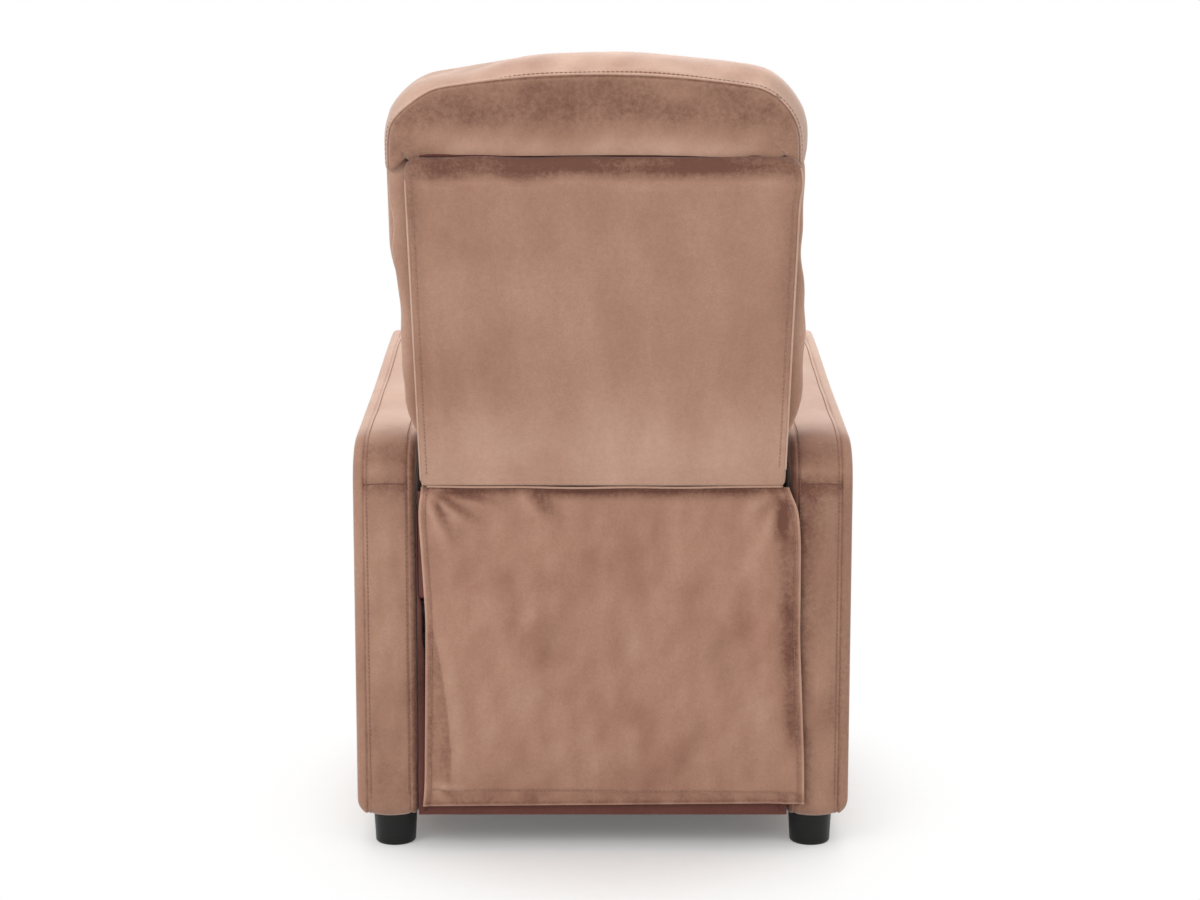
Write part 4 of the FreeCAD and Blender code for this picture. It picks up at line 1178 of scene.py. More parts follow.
    def _rear_painted_shade(self, skin: Skin, side: int, rear: Array, band: Array) -> Array:
        """Paints shade on the arm's rear end: darker on the right, away from the key light, under the curve
        and beside the flap, with random patches.

        Args:
            skin: the arm, before it is placed.
            side: 1 for the sitter's left, -1 for the right.
            rear: how far each point belongs to the rear end.
            band: how far it belongs to the band.

        Returns:
            The painted light and shade at each point.
        """
        _, z, t = skin.local.T
        right = side < 0
        below = 1 - rise(z, self.seam_height - 0.004, self.seam_height + 0.012)
        painted_shading_and_nap = -(0.20 if right else 0.40) * hump(z, 0.522, 0.014) * band
        painted_shading_and_nap -= 0.25 * band * hump(z, self.seam_height, 0.0045)
        painted_shading_and_nap += 0.08 * band * hump(z, 0.36, 0.12) + 0.04 * rise(z, 0.22, 0.05)
        painted_shading_and_nap += (-0.24 - 0.10 * hump(z, 0.43, 0.05) if right else 0.03) * below
        mottle = 0.8 + 0.5 * ripple(0.03, 37, skin.local * [1.0, 0.6, 1.0])
        painted_shading_and_nap -= (0.42 if right else 0.10) * below * (1 - rise(t, 0.019, 0.038)) * mottle
        painted_shading_and_nap -= 0.36 * band * below * rise(z, self.seam_height - 0.05, self.seam_height)
        painted_shading_and_nap += 0.15 * band * ripple(0.032, 35 + side, skin.local * [1.0, 0.5, 1.0])
        return painted_shading_and_nap * rear

    def build(self) -> None:
        """Builds both arms, their seams and stitches, then the dark sheets of painted shade inside their
        rear edges and on their inner faces.
        """
        column, finishes = self.outline().seam_column(), self.maker.finishes
        for side, name in SIDES:
            skin = self.skin(side)
            points, out = self.maker.soft_piece(
                f"velvet_arm_{name}", skin, Body.BASE, f"arm_cover_{name}", fill=0.9
            )
            across = np.array(self.BAND) * skin.ring + column
            seam, stitches = Sewing(self.maker), Sewing(self.maker)
            seam.pipe(points[across] - out[across] * 0.0002, self.seam_radius, sides=6)
            # The seam's pipe is painted as dark as the velvet goes: painted shade in the seam.
            seam.finish(f"arm_cross_seam_{name}", Body.BASE, finishes.velvet, painted_shading_and_nap=-1.0)
            for loop in self.STITCHED:
                row = skin.row(loop, self.steps[0] + 2, -2)
                stitches.stitch(points[row], out[row])
            stitches.finish(f"arm_stitches_{name}", Body.BASE, finishes.thread)
        for side, name in SIDES:
            self._inside(f"arm_gap_shade_{name}", side, self._arm_gap_shade(side), finishes.painted_shade_velvet)
        for side, name in SIDES:
            self._inside(f"arm_inner_shade_{name}", side, self._inner_shade(), finishes.velvet)

    def _arm_gap_shade(self, side: int) -> Skin:
        """Forms the narrow dark sheet inside an arm's rear edge, which closes the gap beside the flap; its
        dark velvet is painted shade, standing for the arm's inner face in shadow.

        Args:
            side: 1 for the sitter's left, -1 for the right.

        Returns:
            The form: forward, up, and in from the arm's inner face.
        """
        outline = Outline.box(*self.RETURN_BOX, self.RETURN_RADII, (10, 70))
        skin = Skin(outline, self.GAP_SHADE_SECTIONS)
        d, z, t = skin.points.T.copy()
        to_d, _, to_t = skin.points.T
        to_t += 0.0034 * (1 - rise(z, 0.262, 0.285)) * t / self.GAP_SHADE_SECTIONS[-1][1]
        to_t *= 1 - 0.69 * rise(z, 0.328, 0.345)
        edge = d < 0.012
        to_d += 0.0006 * ripple(0.05, 51 + side, skin.local[:, 1:]) * edge
        to_d -= 0.0038 * edge * (1 - rise(z, 0.112, 0.122))
        skin.painted_shading_and_nap = 0.3 * ripple(0.08, 53, skin.local) - 0.30
        return skin

    def _inner_shade(self) -> Skin:
        """Forms the thin sheet on an arm's inner face, above the steel plates, with painted shade that
        darkens it to the rear.

        Returns:
            The form: forward, up, and in from the arm's inner face.
        """
        outline = Outline(self.INNER_SHADE_CORNERS, self.INNER_SHADE_RADII, (16, 16))
        skin = Skin(outline, self.INNER_SHADE_SECTIONS)
        skin.painted_shading_and_nap = 0.9 * rise(skin.local[:, 0], 0.035, 0.145) - 0.95
        skin.painted_shading_and_nap += 0.1 * ripple(0.08, 57, skin.local)
        return skin

    def _inside(self, name: str, side: int, skin: Skin, cloth: Material) -> None:
        """Puts a form on an arm's inner face and makes the piece.

        Args:
            name: the piece's name.
            side: 1 for the sitter's left, -1 for the right.
            skin: the form: forward, up, and in from that face.
            cloth: its finish.
        """
        inner = self.inner - self.shade_sheet_gap
        skin.place(lambda d, z, t: from_rear(d, z, side * (inner - t)))
        self.maker.skin_piece(name, skin, Body.BASE, cloth)


@dataclass
class RearPanel:
    """The outside back: a thin padded board with welted sides and a row of stitches inside its edge."""

    maker: Maker
    low: float = 0.1915
    high: float = 0.630
    low_half: float = 0.2345
    high_half: float = 0.2415
    groove: int = 3
    rim: int = 6
    welt_radius: float = 0.0014
    crease_shade_half: float = 0.222
    crease_shade_above: float = 0.0006
    crease_shade_inside: float = 0.0085
    crease_shade_radius: float = 0.0024
    crown: float = 0.0035
    radii: Radii = (0.003, 0.003, 0.017, 0.017)
    steps: Steps = (62, 58)

    SECTIONS = (
        (0.0220, -0.0036), (0.0135, -0.0034), (0.0108, -0.0030), (0.0092, -0.0023), (0.0076, -0.0027),
        (0.0040, -0.0018), (0.0012, 0.0008), (0.0000, 0.0042), (0.0000, 0.0095), (0.0030, 0.0114),
        (0.0120, 0.0117),
    )
    # Creases: where each starts and ends, its half width and how far it stands out.
    CREASES = (
        ((0.230, 0.200), (0.200, 0.300), 0.007, 0.0010),
        ((-0.230, 0.210), (-0.205, 0.310), 0.007, 0.0010),
        ((0.224, 0.618), (0.174, 0.598), 0.006, -0.0016),
        ((0.224, 0.618), (0.204, 0.558), 0.006, -0.0016),
        ((-0.224, 0.618), (-0.184, 0.588), 0.006, -0.0016),
        ((-0.224, 0.618), (-0.212, 0.548), 0.006, -0.0016),
    )

    def outline(self) -> Outline:
        """Gives the panel's rear view: across, and up along the back.

        Returns:
            The outline.
        """
        corners = [
            (-self.low_half, self.low),
            (self.low_half, self.low),
            (self.high_half, self.high),
            (-self.high_half, self.high),
        ]
        return Outline(corners, self.radii, self.steps)

    def skin(self) -> Skin:
        """Forms the panel, with puckers at its corners and painted shade along the top.

        Returns:
            The panel in the chair's frame.
        """
        skin = Skin(self.outline(), self.SECTIONS)
        skin.swell(Skin.FIRST_END, -self.crown, power=6.0)
        x, w, q = skin.points.T.copy()
        to_x, to_w, to_q = skin.points.T
        face = 1 - rise(q, -0.0022, 0.0015)
        to_q += face * 0.0011 * ripple(0.20, 5, skin.local[:, :2])
        for start, end, width, height in self.CREASES:
            to_q += face * height * fold(x, w, start, end, width)
        # The top edge: a soft roll that wanders, and a small bulge at its right end.
        roll = ripple(0.11, 44, x, w * 0.1)
        to_q -= face * 0.0022 * hump(w, 0.6205 + 0.0015 * roll, 0.008)
        to_w += 0.0011 * roll * rise(w, 0.60, 0.628)
        to_x -= 0.0030 * hump(w, 0.596, 0.016) * rise(-x, 0.20, 0.235)
        # Painted light and shade: dark under the head cushion's edge with a thin painted highlight just
        # below it, darker beside the welts and in the stitched groove; lighter low down; random patches.
        edge = 0.6085 + 0.0028 * roll
        dark = 0.95 + 0.22 * ripple(0.03, 45, x * 0.5, w) - 0.35 * rise(np.abs(x), 0.15, 0.235)
        painted_shading_and_nap = -dark * rise(w, edge - 0.009, edge + 0.010) + 0.12 * hump(w, edge - 0.010, 0.006)
        painted_shading_and_nap += 0.38 * rise(w, 0.36, 0.22) - 0.06 * hump(w, 0.54, 0.06)
        beside = 1 - rise(self.high_half - np.abs(x), 0.010, 0.030)
        painted_shading_and_nap -= 0.20 * beside * (1 - rise(w, 0.60, 0.62)) * rise(w, 0.25, 0.42)
        painted_shading_and_nap += 0.12 * ripple(0.17, 41, x * 1.6, w)
        skin.painted_shading_and_nap = painted_shading_and_nap - 0.06 * (skin.loop_of == self.groove)
        skin.place(on_back)
        return skin

    def build(self) -> None:
        """Builds the panel, its welts with a painted highlight, its stitches, and a dark tube of painted
        shade in the crease above it.
        """
        skin, finishes = self.skin(), self.maker.finishes
        points, out = self.maker.soft_piece(
            "velvet_rear_panel", skin, Body.BACKREST, "back_panel", fill=0.8
        )
        n, m = self.steps
        stitches, welt, crease = (Sewing(self.maker) for _ in range(3))
        for start in (n, 2 * n + m):
            row = skin.row(self.groove, start + 1, start + m - 1)
            stitches.stitch(points[row], out[row])
            row = skin.row(self.rim, start + 1, start + m - 2)
            welt.pipe(points[row] + out[row] * 0.0004, self.welt_radius)
        stitches.finish("rear_panel_stitches", Body.BACKREST, finishes.velvet, painted_shading_and_nap=-0.15)
        # The welts are painted light: a painted highlight on their raised edge.
        welt.finish("rear_panel_welt", Body.BACKREST, finishes.velvet, painted_shading_and_nap=0.8)
        # A dark tube fills the crease between the panel and the head cushion: painted shade.
        x = np.linspace(self.crease_shade_half, -self.crease_shade_half, 60)
        above, inside = np.full_like(x, self.high + self.crease_shade_above), np.full_like(x, self.crease_shade_inside)
        crease.pipe(on_back(x, above, inside), self.crease_shade_radius)
        crease.finish("rear_panel_crease_shade", Body.BACKREST, finishes.painted_shade_velvet, painted_shading_and_nap=-0.35)


@dataclass
class HeadCushion:
    """The head cushion: an arched rear face, a boxing band over the top and sides, and a full front."""

    maker: Maker
    half: float = 0.2565
    low: float = 0.6258
    high: float = 0.7040
    arch: float = 0.0295
    shift: float = 0.0055
    ear: float = 0.0180
    corner: float = 0.0220
    rear_crown: float = 0.0030
    front_crown: float = 0.0080
    radii: Radii = (0.004, 0.004, 0.062, 0.062)
    steps: Steps = (70, 24)
    groove: int = 4
    piping_radius: float = 0.0014

    SECTIONS = (
        (0.0300, 0.0104), (0.0160, 0.0100), (0.0085, 0.0104), (0.0052, 0.0118), (0.0046, 0.0138),
        (0.0024, 0.0154), (0.0014, 0.0182), (0.0006, 0.0240), (0.0000, 0.0350), (-0.0008, 0.0480),
        (-0.0010, 0.0620), (0.0000, 0.0780), (0.0000, 0.0940), (0.0004, 0.1090), (0.0018, 0.1200),
        (0.0048, 0.1290), (0.0094, 0.1365), (0.0154, 0.1420), (0.0218, 0.1455), (0.0276, 0.1470),
    )
    # Creases at the rear face's lower corners: where each starts and ends, and its height.
    CREASES = (((0.222, 0.641), (0.172, 0.648), 0.003), ((-0.215, 0.641), (-0.165, 0.648), 0.0024))

    def skin(self) -> Skin:
        """Forms the cushion; its sides reach down beside the rear panel.

        Returns:
            The cushion in the chair's frame.
        """
        outline = Outline.box((-self.half, self.low), (self.half, self.high), self.radii, self.steps)
        skin = Skin(outline, self.SECTIONS)
        skin.swell(Skin.FIRST_END, -self.rear_crown)
        skin.swell(Skin.LAST_END, self.front_crown)
        x, w, q = skin.points.T.copy()
        to_x, to_w, to_q = skin.points.T
        up = np.clip((w - self.low) / (self.high - self.low), 0, 1.05)
        inset = np.clip(skin.inset, 0, 1)
        rear, front = 1 - rise(q, 0.013, 0.060), rise(q, 0.085, 0.15)
        face = 1 - rise(q, 0.0104, 0.0135)
        # The whole form: narrower to the rear, arched on top, and straight along its lower edge.
        to_x *= (1 - 0.034 * rear) * (1 + front * 0.12 * skin.inset / (self.half - skin.inset))
        side = np.clip(np.abs(to_x) / self.half, 0, 1)
        to_w += self.arch * (1 - side**2) * up
        to_w += 0.0045 * up * hump(q, 0.068, 0.030) - 0.008 * up * rise(q, 0.075, 0.155)
        to_w -= inset * (1 - rise(w, self.low, self.low + 0.06)) * (1 - front)
        # The ears that hang beside the rear panel, and the rounded lower corners in front.
        ears = rise(np.abs(x), 0.233, 0.243) * (1 - rise(q, 0.040, 0.050))
        to_w -= self.ear * (1 - rise(up, 0.0, 0.5)) * ears
        turn = np.clip((np.abs(x) - (self.half - inset - self.corner)) / self.corner, 0, 1)
        lift = self.corner * (1 - np.sqrt(1 - turn**2)) * rise(q, 0.060, 0.115)
        to_w += lift * np.clip(1 - (w - self.low) / 0.075, 0, 1)
        # The lean to the left, most at the lower left of the rear face.
        to_x += self.shift + 0.0045 * rise(x, 0.1, 0.25) * (1 - rear)
        to_x += 0.011 * rise(x, 0.16, 0.235) * (1 - rise(q, 0.020, 0.06)) * (1 - rise(up, 0.5, 0.95))
        # The rear face: a full strip low down, a turned-in lower edge, unevenness and creases.
        to_q -= face * 0.0042 * hump(w, 0.655, 0.016)
        to_q += (q < 0.03) * 0.0040 * rise(w, 0.6400, 0.6310) * (np.abs(x) < 0.238)
        to_q += face * 0.0014 * ripple(0.15, 7, x, w * 1.7)
        for start, end, height in self.CREASES:
            to_q += face * height * fold(x, w, start, end, 0.006)
        # The boxing band: uneven, and lower towards the left.
        band = rise(q, 0.015, 0.022) * (1 - rise(q, 0.10, 0.14)) * up
        to_w += band * 0.0020 * ripple(0.11, 9, x, q)
        to_w -= 0.0110 * band * hump(x, 0.185, 0.065)
        # Painted light and shade: the rear face painted dark, darker higher up and at its turned-in lower
        # edge, with a painted highlight low on it; the band over the top painted light; painted shade in
        # the groove; random patches.
        light = hump(w, 0.650, 0.0095) * rise(x, -0.235, -0.15) * (1 - rise(x, 0.17, 0.22))
        dark = 0.20 + 0.20 * rise(w, 0.660, 0.672) + 0.10 * hump(w, 0.677, 0.012)
        dark += 0.45 * rise(w, 0.6385, 0.6330)
        mottle = 0.14 * ripple(0.030, 47, skin.local * [0.6, 1.8, 1.0])
        skin.painted_shading_and_nap = face * (0.66 * light + mottle - dark)
        skin.painted_shading_and_nap += band * (0.30 + 0.24 * ripple(0.055, 48, skin.local))
        skin.painted_shading_and_nap += 0.09 * ripple(0.09, 43, skin.local * [0.45, 1.6, 1.0])
        skin.painted_shading_and_nap -= 0.75 * (skin.loop_of == self.groove)
        skin.place(on_back)
        skin.puff(np.where(q < 0.075, 1.0, 0.0), pressure=1.6, furthest=0.008)
        return skin

    def build(self) -> None:
        """Builds the cushion with its piping and stitches."""
        skin, finishes = self.skin(), self.maker.finishes
        points, out = self.maker.soft_piece(
            "velvet_head_cushion", skin, Body.BACKREST, "head_cushion", fill=0.75
        )
        piping, stitches = Sewing(self.maker), Sewing(self.maker)
        start = self.steps[0] + 2
        piping.pipe(points[skin.row(self.groove + 1, start, -2)], self.piping_radius)
        # The piping is painted light: a painted highlight along it.
        piping.finish("head_piping", Body.BACKREST, finishes.velvet, painted_shading_and_nap=0.75)
        row = skin.row(self.groove + 2, start, -2)
        stitches.stitch(points[row], out[row])
        stitches.finish("head_stitches", Body.BACKREST, finishes.thread)


@dataclass
class Roll:
    """One horizontal cushion of the back: a full roll, flat where it rests on the straps."""

    maker: Maker
    node: str
    low: float
    high: float
    half: float
    depth: float
    seed: int
    lean_left: float = 0.0
    rear: float = 0.0494
    rear_radius: float = 0.010
    nose_radius: float = 0.062
    slack: float = 0.004
    steps: Steps = (20, 24)

    ENDS = ((0.016, 0.0), (0.010, 0.0010), (0.005, 0.0040), (0.002, 0.009), (0.0005, 0.018), (0.0, 0.034))

    def build(self) -> None:
        """Builds the roll, blown up as cloth from a slightly smaller one."""
        nose = min(self.nose_radius, (self.high - self.low) * 0.42)
        radii = (self.rear_radius, nose, nose, self.rear_radius)
        front = self.depth - self.slack
        outline = Outline.box((self.rear, self.low), (front, self.high), radii, self.steps)
        skin = Skin(outline, roll_sections(self.half, self.ENDS, 40))
        q, w, x = skin.points.T.copy()
        to_q, _, to_x = skin.points.T
        forward = rise(q, self.rear + 0.02, self.depth - 0.02)
        to_q += forward * 0.006 * (1 - (x / self.half) ** 2)
        to_q += forward * 0.0030 * ripple(0.13, self.seed, x, w)
        to_x += self.lean_left * rise(w, self.low - 0.03, self.low + 0.05)
        # Random patches of the pile, and painted shade along the front of the top and bottom edges, where
        # the rolls meet.
        skin.painted_shading_and_nap = 0.22 * ripple(0.14, self.seed + 1, skin.local)
        skin.painted_shading_and_nap -= 0.4 * forward * (hump(w, self.low, 0.012) + hump(w, self.high, 0.012))
        skin.place(lambda q, w, x: on_back(x, w, q))
        held = np.clip(1 - (q - self.rear) / 0.03, 0, 1) ** 0.5
        skin.puff(held, pressure=3.0, furthest=0.012)
        self.maker.soft_piece(f"velvet_{self.node}", skin, Body.BACKREST, self.node, fill=0.8)


@dataclass
class SideBoxing:
    """The padded strips on the back's two edges, between the rear panel and the cushions."""

    maker: Maker
    inner: float = 0.2304
    outer: float = 0.2535
    low: float = 0.1500
    high: float = 0.6235
    shift: float = 0.0070
    rear: float = 0.0140
    front: float = 0.0500
    radii: Radii = (0.010, 0.004, 0.004, 0.010)
    steps: Steps = (8, 44)

    def skin(self, side: int) -> Skin:
        """Forms one strip.

        Args:
            side: 1 for the sitter's left, -1 for the right.

        Returns:
            The strip in the chair's frame.
        """
        outline = Outline.box((self.rear, self.low), (self.front, self.high), self.radii, self.steps)
        width = self.outer - self.inner
        sections = [(0.006, 0.0), (0.0, 0.002), (0.0, 0.008), (0.0, width - 0.009)]
        sections += [(0.001, width - 0.005), (0.004, width - 0.0012), (0.009, width)]
        skin = Skin(outline, sections)
        _, w, t = skin.points.T.copy()
        to_t = skin.points[:, 2]
        to_t *= 0.12 + 0.88 * rise(w, 0.235, 0.315)
        to_t += rise(t, 0.008, width) * 0.0022 * ripple(0.09, 60 + side, skin.local[:, :2])
        to_t += side * self.shift * rise(w, 0.40, 0.52) * rise(t, 0.004, width)
        skin.painted_shading_and_nap = 0.35 + 0.25 * ripple(0.1, 66, skin.local)
        skin.place(lambda q, w, t: on_back(side * (self.inner + t), w, q))
        return skin

    def build(self) -> None:
        """Builds both strips as one piece."""
        both = self.skin(1)
        both.join(self.skin(-1))
        self.maker.soft_piece("velvet_side_boxing", both, Body.BACKREST, "back_side_pads", fill=0.7)


@dataclass
class Drape:
    """Hanging cloth while it is shaped: each point's place across, up and out, and its painted light and
    shade, mixed with random brushing of the pile.
    """

    x: Array
    z: Array
    y: Array
    painted_shading_and_nap: Array

    def ridge(self, height: float, light: float, shape: Array) -> None:
        """Raises a shape out of the cloth and paints it lighter, or darker where the amount is negative, as
        painted light and shade on the shape.
        """
        self.y = self.y + height * shape
        self.painted_shading_and_nap = self.painted_shading_and_nap + light * shape


@dataclass
class RearFlap:
    """The loose cloth that hangs from the rear panel's lower edge to the rear rail."""

    maker: Maker
    top: float = 0.4852
    low_left: float = 0.0602
    low_right: float = 0.0645
    hem: float = 0.0830
    hem_drop: float = 0.0040
    side_hem: float = 0.0090
    thick: float = 0.0022
    wall: float = 0.2592
    flat: Pair = (0.500, 0.430)
    columns: int = 160
    rows: int = 124
    strip_half: float = 0.2285
    strip_middle: float = -0.0025
    strip_height: float = 0.4866
    strip_out: float = 0.2648
    strip_radius: float = 0.0014
    gap_shade_heights: Pair = (0.478, 0.338)
    gap_shade_inner: float = 0.2392
    gap_shade_out: float = 0.2512
    gap_shade_thick: float = 0.0010

    # Lines on the cloth: heights, and the place across at each.
    LEFT = (
        (0.060, 0.2364), (0.082, 0.2336), (0.20, 0.2315), (0.31, 0.2298), (0.40, 0.2350), (0.452, 0.2382),
        (0.4852, 0.2330),
    )
    RIGHT = (
        (0.060, -0.2641), (0.1225, -0.2633), (0.2832, -0.2561), (0.4154, -0.2557), (0.4612, -0.2513),
        (0.4852, -0.2368),
    )
    FOLD = (
        (0.095, 0.1993), (0.1365, 0.1980), (0.1755, 0.2007), (0.2253, 0.2066), (0.2711, 0.2138),
        (0.3088, 0.2230), (0.3626, 0.2290),
    )
    ROLL = ((0.12, -0.2400), (0.20, -0.2340), (0.40, -0.2260), (0.46, -0.2240))
    # The steps up and down that the side lines are averaged over.
    ROUNDING = np.linspace(-0.016, 0.016, 9)
    # Pulls out of the top corners: where each starts and ends, its half width and its height.
    PULLS = (
        ((0.224, 0.480), (0.160, 0.424), 0.0046, 0.0056),
        ((0.218, 0.4825), (0.125, 0.455), 0.0042, 0.0048),
        ((0.228, 0.476), (0.200, 0.390), 0.0044, 0.0036),
        ((0.105, 0.481), (0.060, 0.425), 0.0090, 0.0034),
        ((-0.215, 0.478), (-0.170, 0.430), 0.0080, 0.0040),
        ((-0.222, 0.474), (-0.205, 0.380), 0.0080, 0.0040),
    )
    # Slack between the pulls: its middle, its half width and its depth.
    SLACK = ((0.165, 0.05, 0.7), (0.030, 0.055, 1.0), (-0.075, 0.06, 0.85), (-0.175, 0.045, 0.8))

    @classmethod
    def edge(cls, z: Array, table: Pairs) -> Array:
        """Reads one side's line at each height, with its corners rounded."""
        return np.mean([np.interp(z + step, *zip(*table)) for step in cls.ROUNDING], axis=0)

    def face(self) -> tuple[Drape, Array]:
        """Shapes the cloth's outer face.

        Returns:
            The cloth, and each point's distance from the nearer side.
        """
        share = np.linspace(0, 1, self.columns + 1)
        across = 0.35 * (0.5 - 0.5 * np.cos(math.pi * share)) + 0.65 * share
        u, v = (g.ravel() for g in np.meshgrid(across, np.linspace(0, 1, self.rows + 1), indexing="ij"))
        low = self.low_left + (self.low_right - self.low_left) * u
        z = self.top + (low - self.top) * v
        left, right = self.edge(z, self.LEFT), self.edge(z, self.RIGHT)
        x = left + (right - left) * u
        y = self.wall + 0.0034 * rise(-x, 0.215, 0.246) + 0.0030 * rise(z, 0.43, 0.486)
        belly = np.sin(math.pi * np.clip(u, 0, 1)) ** 0.6 * rise(z, 0.066, 0.13) * rise(z, 0.486, 0.40)
        y += 0.0075 * belly
        y += 0.0008 * ripple(0.15, 71, x, z) * belly
        painted_shading_and_nap = -0.02 + 0.06 * ripple(0.10, 73, x, z * 0.8)
        painted_shading_and_nap += 0.09 * ripple(0.032, 75, x, z * 0.7)
        cloth = Drape(x, z, y, painted_shading_and_nap)
        self._pulls(cloth)
        self._left_fold(cloth)
        self._right_roll(cloth)
        side = np.minimum(np.abs(x - left), np.abs(x - right))
        self._hems(cloth, u, side, z - low)
        return cloth, side

    def _pulls(self, cloth: Drape) -> None:
        """Adds the pulls that fan out of the top corners and the slack between them, with painted
        highlights on the pulls, painted shade beside them and in the slack, and painted shade under the top
        edge.

        Args:
            cloth: the cloth, which changes.
        """
        x, z = cloth.x, cloth.z
        for start, end, width, height in self.PULLS:
            cloth.ridge(height, 0.40, fold(x, z, start, end, width, 0.12))
            below = (start[0] - 0.012, start[1] - 0.004), (end[0] - 0.014, end[1] + 0.006)
            cloth.ridge(-0.55 * height, -0.66, fold(x, z, *below, width, 0.1))
        for middle, width, depth in self.SLACK:
            dip = hump(z, 0.4785, 0.0062) * hump(x, middle, width)
            cloth.ridge(-0.0050 * depth, -0.80 * depth, dip)
        cloth.painted_shading_and_nap = cloth.painted_shading_and_nap - 0.42 * rise(z, 0.474, 0.482)
        cloth.ridge(0.0030, 0.0, hump(z, 0.462, 0.012) * (1 - 0.4 * hump(x, 0.09, 0.02)))

    def _left_fold(self, cloth: Drape) -> None:
        """Adds the fold that runs down the left side into a small knot at the hem, with painted shade on
        one side of its crease, a painted highlight on the other, painted highlights on the knot's small
        folds and painted shade in the knot.

        Args:
            cloth: the cloth, which changes.
        """
        x, z = cloth.x, cloth.z
        strength = rise(z, 0.082, 0.10) * (1 - rise(z, 0.26, 0.36))
        off = x - np.interp(z, *zip(*self.FOLD))
        slope = np.where(off > 0, np.exp(-off / 0.016), np.exp(off / 0.05))
        cloth.ridge(0.0052, 0.0, strength * slope)
        shade = 0.22 + 0.34 * np.exp(-np.clip(off, 0, 1) / 0.009)
        cloth.painted_shading_and_nap = cloth.painted_shading_and_nap - strength * shade * rise(off, -0.0012, 0.0014)
        cloth.ridge(0.0, 0.20, strength * hump(off, -0.008, 0.010))
        for end in ((0.230, 0.094), (0.226, 0.074), (0.166, 0.083)):
            cloth.ridge(0.0036, 0.24, fold(x, z, (0.199, 0.0865), end, 0.0042, 0.3))
        cloth.ridge(0.0, -0.4, hump(x, 0.205, 0.010) * hump(z, 0.081, 0.004))

    def _right_roll(self, cloth: Drape) -> None:
        """Adds the long soft roll along the right side, with painted shade where it turns away and a
        painted highlight beside it.

        Args:
            cloth: the cloth, which changes.
        """
        x, z = cloth.x, cloth.z
        line = np.interp(z, *zip(*self.ROLL))
        strength = rise(z, 0.10, 0.18) * (1 - rise(z, 0.44, 0.476))
        cloth.ridge(0.0045, 0.0, strength * hump(x, line + 0.012, 0.016))
        wander = 0.95 + 0.35 * ripple(0.05, 77, x * 0.6, z)
        cloth.ridge(0.0, -0.74, strength * wander * hump(x, line - 0.010, 0.0115))
        cloth.ridge(0.0, 0.16, strength * hump(x, line + 0.022, 0.014))

    def _hems(self, cloth: Drape, u: Array, side: Array, foot: Array) -> None:
        """Turns the sides and the lower edge in and sews them, with painted highlights on the folded edges
        and painted shade along the sewn lines, beside the edges and below the lower hem.

        Args:
            cloth: the cloth, which changes.
            u: each point's share of the width, from the left.
            side: its distance from the nearer side.
            foot: its distance from the lower edge.
        """
        z = cloth.z
        cloth.ridge(-0.0010, 0.0, hump(side, self.side_hem, 0.0016))
        cloth.ridge(0.0008, 0.0, 1 - rise(side, self.side_hem - 0.003, self.side_hem))
        cloth.ridge(0.0, -0.16, hump(side, self.side_hem, 0.0015))
        cloth.ridge(0.0, 0.85, 1 - rise(side, 0.0012, 0.0034))
        cloth.ridge(0.0, -0.16, 1 - rise(side, 0.0035, 0.012))
        sewn = hump(z, self.hem - self.hem_drop * u, 0.0016) * rise(u, 0.02, 0.06)
        cloth.ridge(-0.0011, 0.0, sewn * (1 - 0.6 * u))
        cloth.ridge(0.0, -0.30, sewn * (1 - 0.75 * rise(u, 0.5, 0.8)))
        cloth.ridge(0.0, -0.62, hump(foot, 0.0046, 0.0016))
        mottle = 0.24 + 0.16 * ripple(0.03, 79, cloth.x, z)
        cloth.ridge(0.0, -1.0, mottle * (1 - rise(z, 0.075, 0.084)))
        cloth.ridge(0.0, 0.7, 1 - rise(foot, 0.0012, 0.0032))

    def build(self) -> None:
        """Builds the flap, its stitches, the dark sheet of painted shade beside its left side and the
        folded strip at its top.
        """
        finishes = self.maker.finishes
        cloth, side = self.face()
        outer = np.column_stack([cloth.x, cloth.y, cloth.z])
        n, m = self.columns + 1, self.rows + 1
        # The back layer is painted darker: painted shade on the flap's inner face.
        painted_shading_and_nap = np.concatenate([cloth.painted_shading_and_nap, cloth.painted_shading_and_nap - 0.3])
        flap = self._layers("velvet_rear_flap", outer, (n, m), self.thick, finishes.loose, painted_shading_and_nap)
        stitches = self._stitches(outer.reshape(n, m, 3), side.reshape(n, m))
        self._strip()
        flap_shade_sheet = self._flap_gap_shade()
        for piece in (flap, stitches, flap_shade_sheet):
            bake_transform(piece)
        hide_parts("rear_flap")

    def _layers(
        self,
        name: str,
        outer: Array,
        counts: Steps,
        thick: float,
        material: Material,
        painted_shading_and_nap: Array,
    ) -> Piece:
        """Makes thin cloth from a grid of points and a second layer behind it.

        Args:
            name: the piece's name.
            outer: the grid's points.
            counts: how many points it has across and down.
            thick: how thick the cloth is.
            material: its finish.
            painted_shading_and_nap: the painted light and shade of both layers, mixed with random brushing
                of the pile.

        Returns:
            The piece.
        """
        size = len(outer)
        index = np.arange(size).reshape(counts)
        faces = []
        for quad in quads(index):
            faces += [quad, tuple(q + size for q in reversed(quad))]
        rim = [*index[:, 0], *index[-1, 1:], *index[-2::-1, -1], *index[0, -2:0:-1]]
        for a, b in zip(rim, rim[1:] + rim[:1]):
            faces.append((int(a), int(b), int(b) + size, int(a) + size))
        points = np.concatenate([outer, outer - np.array([0.0, thick, 0.0])])
        return self.maker.mesh_piece(name, points, faces, material, painted_shading_and_nap)

